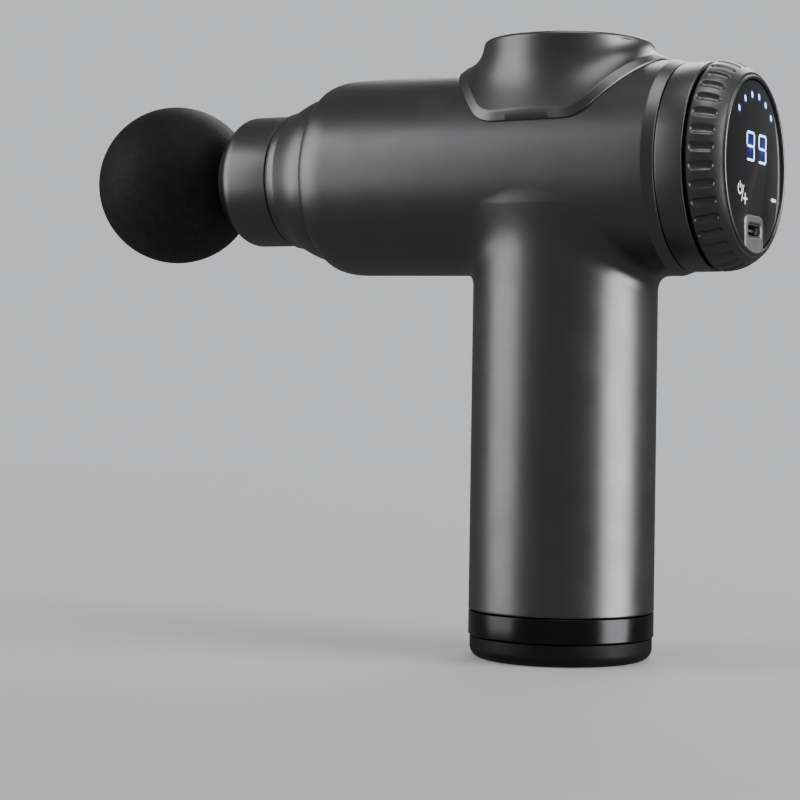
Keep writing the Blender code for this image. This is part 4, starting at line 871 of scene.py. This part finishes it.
def rib_offset(along, radius, angle):
    """How far the bezel's flank is pressed in at this place by its ring of round-ended dimples."""
    if radius < LENS_RADIUS + GAP + 1.2 * MM:
        return 0.0
    length = BEZEL_HIGH.x - BEZEL_LOW.x
    start = BEZEL_LOW.x + RIB_START * length + RIB_WIDTH / 2
    end = BEZEL_LOW.x + RIB_START * length + RIB_LENGTH - RIB_WIDTH / 2
    pitch = TAU / RIB_COUNT
    across = ((angle % pitch) - pitch / 2) * radius
    past = max(start - along, 0.0, along - end)
    share = math.hypot(across, past) / (RIB_WIDTH / 2)
    return -RIB_DEPTH * max(1.0 - share**2, 0.0) ** 0.8


def make_bezel(look):
    """Dimpled ring with a bevelled front edge and a bead round the lens."""
    rows = 56
    flank = [(*bezel_flank(share), 0.0) for share in np.linspace(0.115, 0.93, rows)]
    rim_x, rim_radius = BEZEL_HIGH.x, LENS_RADIUS + GAP
    seat = LENS_LOW.x - GAP
    bead = arc((rim_x - 0.55 * MM, rim_radius + 0.5 * MM), (0.55 * MM, 0.5 * MM), 95, -90, 10)
    bore = TRIM_HIGH.y - SHELL_WALL - GAP - SPIGOT_WALL
    corners = [
        (BEZEL_LOW.x, bezel_flank(0.0)[1] - 1.1 * MM, 0.12 * MM),
        *flank,
        *[(x, r, 0.0) for x, r in bead],
        (rim_x - 0.9 * MM, rim_radius, 0.0),
        (seat, rim_radius),
        (seat, rim_radius - 1.7 * MM),
        (seat - 1.6 * MM, rim_radius - 1.7 * MM),
        (BEZEL_LOW.x + 2.1 * MM, bore - GAP),
        (BEZEL_LOW.x + 1.8 * MM, BEZEL_FLANGE_RADIUS),
        (BEZEL_LOW.x, BEZEL_FLANGE_RADIUS),
    ]
    bm = bmesh.new()
    add_turned(bm, filleted(corners, 0.15 * MM, closed=True), "X", True, RIB_COUNT * 20, rib_offset)
    return to_piece("bezel_shell", bm, look, "housing", ["rear_bezel"])


def rounded_reach(angle, centre, low, high, corner):
    """How far a ray from centre at this angle runs to the edge of a rectangle with rounded corners."""
    middle = (np.array(low) + np.array(high)) / 2
    half = (np.array(high) - np.array(low)) / 2
    direction = np.array((math.cos(angle), math.sin(angle)))
    near, far = 0.0, 4 * float(np.linalg.norm(half))
    for _ in range(40):
        reach = (near + far) / 2
        away = np.abs(np.array(centre) + direction * reach - middle) - half + corner
        outside = np.linalg.norm(np.maximum(away, 0.0)) + min(max(away[0], away[1]), 0.0) - corner
        near, far = (reach, far) if outside < 0 else (near, reach)
    return np.array(centre) + direction * near


def rounded_loop(low, high, corner, centre, count=96):
    return [rounded_reach(TAU * (step + 0.5) / count, centre, low, high, corner) for step in range(count)]


def make_usb_tab(look):
    """The tab below the display: a rounded plate with a rounded opening for the socket."""
    bm = bmesh.new()
    centre = (0.0, USB_LEVEL)
    half = USB_TAB_WIDTH / 2
    face = LENS_HIGH.x + 0.2 * MM
    back = face - 5.0 * MM
    edge = 0.3 * MM
    bottom = -(LENS_RADIUS + GAP + 0.4 * MM)
    port = (USB_HIGH - USB_LOW) / 2
    port_low = np.array((-port.y - 0.15 * MM, USB_LEVEL - port.z - 0.15 * MM))
    port_high = -port_low + np.array((0.0, 2 * USB_LEVEL))
    corner, port_corner = 2.2 * MM, 1.2 * MM
    outer_low, outer_high = np.array((-half, bottom)), np.array((half, USB_TAB_TOP))

    opening = rounded_loop(port_low, port_high, port_corner, centre)
    wide_opening = rounded_loop(port_low - edge, port_high + edge, port_corner + edge, centre)
    outline = rounded_loop(outer_low, outer_high, corner, centre)
    inner_outline = rounded_loop(outer_low + edge, outer_high - edge, corner - edge, centre)
    loops = [
        across_x(opening, back),
        across_x(opening, face - edge),
        across_x(wide_opening, face),
        across_x(inner_outline, face),
        across_x(outline, face - edge),
        across_x(outline, back),
    ]
    rings = add_loops(bm, loops + loops[:1])
    bmesh.ops.remove_doubles(bm, verts=rings[0] + rings[-1], dist=1e-7)
    return to_piece("socket_tab", bm, look, "housing")


def make_usb_socket(look):
    """Stadium-shaped metal shell round a thin contact tongue."""
    centre = (0.0, USB_LEVEL)
    low = np.array((USB_LOW.y, USB_LOW.z - AXIS_Z))
    high = np.array((USB_HIGH.y, USB_HIGH.z - AXIS_Z))
    wall, corner = 0.35 * MM, 1.1 * MM
    face, back = USB_HIGH.x, USB_LOW.x

    outer = rounded_loop(low, high, corner, centre)
    inner = rounded_loop(low + wall, high - wall, corner - wall, centre)
    bm = bmesh.new()
    floor = back + 1.2 * MM
    loops = [across_x(outer, back), across_x(outer, face), across_x(inner, face), across_x(inner, floor)]
    rings = add_loops(bm, loops)
    bm.faces.new(rings[0])
    bm.faces.new(rings[-1])
    half_tongue = np.array((3.3 * MM, 0.35 * MM))
    tongue = rounded_loop(np.array(centre) - half_tongue, np.array(centre) + half_tongue, 0.2 * MM, centre)
    add_plate(bm, tongue, back + 0.8 * MM, face - 0.9 * MM, 0.1 * MM)
    return to_piece("socket_shell", bm, look, "housing", ["usb_socket"])


def make_lens(look):
    """Polished disc with a slot at the bottom that clears the socket's tab."""
    half = USB_TAB_WIDTH / 2 + 0.15 * MM
    slot_top = USB_TAB_TOP + 0.15 * MM
    corner = 2.3 * MM
    first = math.asin(half / LENS_RADIUS)
    angles = np.linspace(first, TAU - first, 240)
    circle = [(-LENS_RADIUS * math.sin(a), -LENS_RADIUS * math.cos(a)) for a in angles]
    turn = np.radians(np.linspace(0, 90, 9))
    right = [(half - corner + corner * math.cos(a), slot_top - corner + corner * math.sin(a)) for a in turn]
    left = [(-y, z) for y, z in reversed(right)]
    loop = circle + right + left
    bm = bmesh.new()
    back = [bm.verts.new((LENS_LOW.x, y, AXIS_Z + z)) for y, z in loop]
    face = bm.faces.new(back)
    raised = bmesh.ops.extrude_face_region(bm, geom=[face])["geom"]
    front = [item for item in raised if isinstance(item, bmesh.types.BMVert)]
    bmesh.ops.translate(bm, vec=(LENS_HIGH.x - LENS_LOW.x, 0, 0), verts=front)
    edges = [e for e in bm.edges if all(abs(v.co.x - LENS_HIGH.x) < 1e-7 for v in e.verts)]
    bmesh.ops.bevel(bm, geom=edges, offset=0.2 * MM, segments=3, affect="EDGES", profile=0.5)
    return to_piece("lens_glass_disc", bm, look, "housing", ["display_lens"])


# --- Display symbols --------------------------------------------------------------------------------


def bar(start, end, width):
    """A straight stroke with pointed ends, as a loop of (y, z) points."""
    start, end = np.array(start), np.array(end)
    along = (end - start) / np.linalg.norm(end - start)
    across = np.array((-along[1], along[0])) * width / 2
    tip = along * width / 2
    return [start - tip, start - across, end - across, end + tip, end + across, start + across]


def disc(centre, radius, count=28):
    angles = [TAU * number / count for number in range(count)]
    return [(centre[0] + radius * math.cos(a), centre[1] + radius * math.sin(a)) for a in angles]


def dot_places():
    """Centres of the level lights, on an arc over the digits."""
    turns = [math.radians(90 + (number - (DOT_COUNT - 1) / 2) * DOT_SPACING) for number in range(DOT_COUNT)]
    return [(DOT_CIRCLE * math.cos(turn), DOT_CIRCLE * math.sin(turn)) for turn in turns]


def nine_segments(centre):
    """The six lit strokes of a seven-segment nine."""
    y, z = centre
    half, tall = DIGIT_WIDTH / 2, DIGIT_HEIGHT / 2
    clear = STROKE_WIDTH * 0.75
    levels = ((tall, -half), (0.0, -half), (-tall, -half))
    across = [((y + side + clear, z + level), (y - side - clear, z + level)) for level, side in levels]
    uprights = [
        ((y - half, z + clear), (y - half, z + tall - clear)),
        ((y + half, z + clear), (y + half, z + tall - clear)),
        ((y + half, z - tall + clear), (y + half, z - clear)),
    ]
    return [bar(start, end, STROKE_WIDTH) for start, end in across + uprights]


def power_symbol(centre, radius):
    """A ring open at the top and a stroke through the opening, as short bars."""
    steps = 22
    angles = np.radians(np.linspace(130, 410, steps + 1))
    places = [(centre[0] + radius * math.cos(a), centre[1] + radius * math.sin(a)) for a in angles]
    width = 0.34 * MM
    loops = [bar(a, b, width) for a, b in zip(places, places[1:])]
    loops.append(bar((centre[0], centre[1] + 0.2 * MM), (centre[0], centre[1] + radius * 1.25), width))
    return loops


def make_symbols(name, loops, look):
    bm = bmesh.new()
    for loop in loops:
        add_plate(bm, loop, LENS_HIGH.x - SYMBOL_SUNK, LENS_HIGH.x + SYMBOL_PROUD)
    return to_piece(name, bm, look, "housing")


def make_display_symbols():
    first = (DIGITS_Y - DIGIT_SPACING / 2, DIGITS_Z)
    second = (DIGITS_Y + DIGIT_SPACING / 2, DIGITS_Z)
    digits_look = lit("digit_light", (0.36, 0.54, 1.0), 4.0)
    make_symbols("speed_digits", nine_segments(first) + nine_segments(second), digits_look)
    rise = (DOT_HEIGHT - DOT_WIDTH) / 2
    lean = DOT_LEAN / 2
    dots = [bar((y + lean, z - rise), (y - lean, z + rise), DOT_WIDTH) for y, z in dot_places()]
    make_symbols("level_dots", dots, lit("dot_light", (0.42, 0.58, 1.0), 3.2))
    white = lit("key_light", (0.82, 0.84, 0.88), 0.9)
    plus = (PLUS_Y + 1.9 * MM, KEY_Z - 1.2 * MM)
    arm = 1.25 * MM
    keys = power_symbol((PLUS_Y - 1.9 * MM, KEY_Z + 1.1 * MM), 1.35 * MM)
    keys.append(bar((PLUS_Y - 0.75 * MM, KEY_Z - 2.0 * MM), (PLUS_Y + 0.75 * MM, KEY_Z + 2.0 * MM), 0.3 * MM))
    keys.append(bar((plus[0] - arm, plus[1]), (plus[0] + arm, plus[1]), 0.5 * MM))
    keys.append(bar((plus[0], plus[1] - arm), (plus[0], plus[1] + arm), 0.5 * MM))
    keys.append(bar((MINUS_Y - 1.5 * MM, KEY_Z), (MINUS_Y + 1.5 * MM, KEY_Z), 0.85 * MM))
    make_symbols("key_symbols", keys, white)


# --- Base -------------------------------------------------------------------------------------------


def make_base(chrome, plastic):
    """Chrome band and the foot below it."""
    wall = HANDLE_RADIUS - SHELL_WALL
    ring = [
        (RING_LOW.z, wall),
        (RING_LOW.z, HANDLE_RADIUS),
        (RING_HIGH.z, HANDLE_RADIUS),
        (RING_HIGH.z, wall),
    ]
    outline = filleted(ring, 0.35 * MM, closed=True)
    turned_piece("chrome_band", outline, chrome, "housing", "base_trim_ring", "Z", True)
    shoulder = HANDLE_RADIUS - 0.4 * MM
    spigot = wall - GAP
    top = RING_LOW.z - GAP
    rounding = arc((3.0 * MM, shoulder - 3.0 * MM), (3.0 * MM, 3.0 * MM), 180, 90, 14)
    corners = [
        (0.0, 0.0),
        *[(z, r, 0.0) for z, r in rounding],
        (top, shoulder),
        (top, spigot),
        (CAP_HIGH.z, spigot - 0.4 * MM),
        (CAP_HIGH.z, spigot - 2.0 * MM),
        (2.2 * MM, spigot - 2.0 * MM),
        (2.2 * MM, 0.0),
    ]
    outline = filleted(corners, 0.25 * MM)
    turned_piece("foot_cap", outline, plastic, "housing", "base_cap", "Z")


# --- Materials of the CAD pieces that stay ------------------------------------------------------------


def inner_looks():
    """Material for each slot of the record that CAD nodes still show."""
    return {
        "bush_grey": grained("bush_polymer", (0.22, 0.22, 0.225), 0.45).material,
        "cast_alloy": grained("cast_alloy", (0.48, 0.48, 0.49), 0.5, 1.0, 0.6 * MM, 0.05 * MM).material,
        "steel": brushed("turned_steel", (0.56, 0.56, 0.58), 0.28, (1.0, 1.0, 0.05)),
        "stator_copper": stator_copper(),
        "bell_black": grained("bell_coating", (0.03, 0.03, 0.034), 0.34, 0.8).material,
        "circuit_green": circuit_green(),
        "chip_black": grained("chip_resin", (0.018, 0.018, 0.018), 0.55).material,
        "led_white": grained("led_resin", (0.75, 0.8, 0.95), 0.3).material,
        "pad_foam": grained("pad_foam", (0.25, 0.25, 0.26), 0.9, 0.0, 0.5 * MM, 0.1 * MM).material,
        "cell_wrap": grained("cell_sleeve", (0.03, 0.13, 0.32), 0.35).material,
        "holder_white": grained("holder_abs", (0.62, 0.62, 0.6), 0.5).material,
        "capacitor_can": brushed("capacitor_sleeve", (0.08, 0.09, 0.16), 0.35, (1.0, 1.0, 0.1)),
        "lead_red": grained("lead_red", (0.42, 0.02, 0.02), 0.4).material,
        "lead_grey": grained("lead_grey", (0.22, 0.22, 0.22), 0.4).material,
        "lead_yellow": grained("lead_yellow", (0.55, 0.38, 0.03), 0.4).material,
        "rod_alloy": brushed("milled_alloy", (0.52, 0.52, 0.54), 0.32, (0.05, 1.0, 1.0)),
        "piston_nylon": grained("piston_nylon", (0.55, 0.55, 0.52), 0.42).material,
    }


def paint_inner_nodes():
    looks = inner_looks()
    for subpart in frame["record"]["subparts"]:
        look = looks.get(subpart["material_slot"])
        node = frame["nodes"][subpart["node"]]
        if look and not node.hide_render:
            node.data.materials.clear()
            node.data.materials.append(look)


# --- Stage, light and camera ----------------------------------------------------------------------------


def make_stage():
    """Pale floor with a painted pool of light: its colour and glow are brightest under the gun and fade to
    dark grey outwards. Around it is an evenly glowing pale backdrop that the metal doesn't mirror.
    """
    bm = bmesh.new()
    bm.faces.new([bm.verts.new((x, y, 0.0)) for x, y in disc((0.0, 0.0), 6.0, 96)])
    floor_look = Surface("pale_floor_painted_light_pool", (0.0, 0.0, 0.0), 0.9, 0.0, Specular_IOR_Level=0.0)
    # Painted pool of light: near is 1 under the gun and falls to 0 outwards, and it drives both the floor's
    # colour and its glow.
    near = floor_look.falloff((0.0, 0.0, 0.0), (1.6, 1.6, 1.6))
    floor_look.tint(near, (0.62, 0.62, 0.63), 0.0, 0.75)
    painted_glow = floor_look.nodes.new("ShaderNodeValToRGB")
    painted_glow.color_ramp.elements[0].color = (0.66, 0.67, 0.69, 1.0)
    painted_glow.color_ramp.elements[1].color = (0.16, 0.16, 0.165, 1.0)
    painted_glow.color_ramp.elements[1].position = 0.75
    floor_look.links.new(near, painted_glow.inputs["Fac"])
    floor_look.links.new(painted_glow.outputs["Color"], floor_look.shader.inputs["Emission Color"])
    floor_look.shader.inputs["Emission Strength"].default_value = 1.0
    backdrop_look = Surface("pale_backdrop", (0.0, 0.0, 0.0), 1.0)
    backdrop_look.shader.inputs["Emission Color"].default_value = (0.66, 0.67, 0.69, 1.0)
    backdrop_look.shader.inputs["Emission Strength"].default_value = 1.0
    floor = stage_object("floor", bm, floor_look.material)
    floor.visible_glossy = False
    bm = bmesh.new()
    bmesh.ops.create_icosphere(bm, subdivisions=4, radius=5.9)
    backdrop = stage_object("backdrop", bm, backdrop_look.material)
    backdrop.visible_glossy = False
    backdrop.visible_diffuse = False
    backdrop.visible_shadow = False
    backdrop.visible_transmission = False


def stage_object(name, bm, look):
    mesh = bpy.data.meshes.new(name)
    bm.to_mesh(mesh)
    bm.free()
    mesh.shade_smooth()
    mesh.materials.append(look)
    obj = bpy.data.objects.new(name, mesh)
    bpy.context.scene.collection.objects.link(obj)
    return obj


VIEW_YAW = math.radians(27.61)
VIEW_PITCH = math.radians(1.06)
VIEW_ROLL = math.radians(-0.87)
CAMERA_PLACE = Vector((0.2323, -0.5124, 0.0706))
LENS_LENGTH = 97.245  # in millimetres, as a camera states it
SENSOR_WIDTH = 36.0
VIEW_SHIFT = (-0.05375, -0.07125)


def soft_light(name, turn, rise, distance, width, height, power):
    """A soft box at this turn to the right of the camera and this rise, both in degrees, facing the gun."""
    towards_camera = Vector((math.sin(VIEW_YAW), -math.cos(VIEW_YAW), 0.0))
    right = Vector((math.cos(VIEW_YAW), math.sin(VIEW_YAW), 0.0))
    turn, rise = math.radians(turn), math.radians(rise)
    level = towards_camera * math.cos(turn) + right * math.sin(turn)
    direction = level * math.cos(rise) + Vector((0, 0, math.sin(rise)))
    data = bpy.data.lights.new(name, "AREA")
    data.shape = "RECTANGLE"
    data.size, data.size_y = width, height
    data.energy = power
    light = bpy.data.objects.new(name, data)
    target = Vector((0.0, 0.0, 0.1))
    light.location = target + direction * distance
    light.rotation_euler = (-direction).to_track_quat("-Z", "Y").to_euler()
    bpy.context.scene.collection.objects.link(light)


def make_lights():
    soft_light("left_box", -84, 14, 1.3, 0.95, 1.3, 8.0)
    soft_light("right_box", 68, 6, 1.3, 0.85, 1.5, 21.0)
    soft_light("top_box", 15, 78, 1.5, 0.9, 0.9, 4.5)
    soft_light("rear_box", 165, 35, 1.6, 1.0, 0.6, 9.0)
    world = bpy.data.worlds.new("studio")
    world.use_nodes = True
    world.node_tree.nodes["Background"].inputs["Color"].default_value = (0.12, 0.12, 0.124, 1.0)
    bpy.context.scene.world = world


def make_camera():
    forward = Vector(
        (
            -math.sin(VIEW_YAW) * math.cos(VIEW_PITCH),
            math.cos(VIEW_YAW) * math.cos(VIEW_PITCH),
            math.sin(VIEW_PITCH),
        )
    )
    right = Vector((math.cos(VIEW_YAW), math.sin(VIEW_YAW), 0.0))
    up = right.cross(forward)
    turned = Matrix.Rotation(VIEW_ROLL, 3, forward)
    right, up = turned @ right, turned @ up
    data = bpy.data.cameras.new("camera")
    data.sensor_width = SENSOR_WIDTH
    data.lens = LENS_LENGTH
    data.shift_x, data.shift_y = VIEW_SHIFT
    data.clip_end = 50.0
    camera = bpy.data.objects.new("camera", data)
    axes = Matrix((right, up, -forward)).transposed().to_4x4()
    camera.matrix_world = Matrix.Translation(CAMERA_PLACE) @ axes
    bpy.context.scene.collection.objects.link(camera)
    bpy.context.scene.camera = camera


def main():
    make_camera()
    make_lights()
    make_stage()
    metal = satin_metal()
    make_housing(metal)
    make_motor_cover(metal)
    make_front_sleeve(metal)
    make_nose_collar(metal)
    make_trim_ring(metal)
    make_bezel(metal)
    make_usb_tab(grained("blasted_tab", (0.42, 0.42, 0.43), 0.5, 1.0).material)
    make_lens(display_glass())
    make_display_symbols()
    make_usb_socket(brushed("socket_steel", (0.5, 0.5, 0.52), 0.3, (0.05, 1.0, 1.0)))
    plastic = grained(
        "moulded_black", (0.008, 0.008, 0.0083), 0.5, 0.0, 0.35 * MM, 0.02 * MM, 1.3, Specular_IOR_Level=0.3
    ).material
    make_base(dark_chrome(), plastic)
    make_massage_ball(ball_rubber())
    make_head_stem(plastic)
    make_o_ring(grained("seal_rubber", (0.02, 0.02, 0.02), 0.6).material)
    paint_inner_nodes()


main()
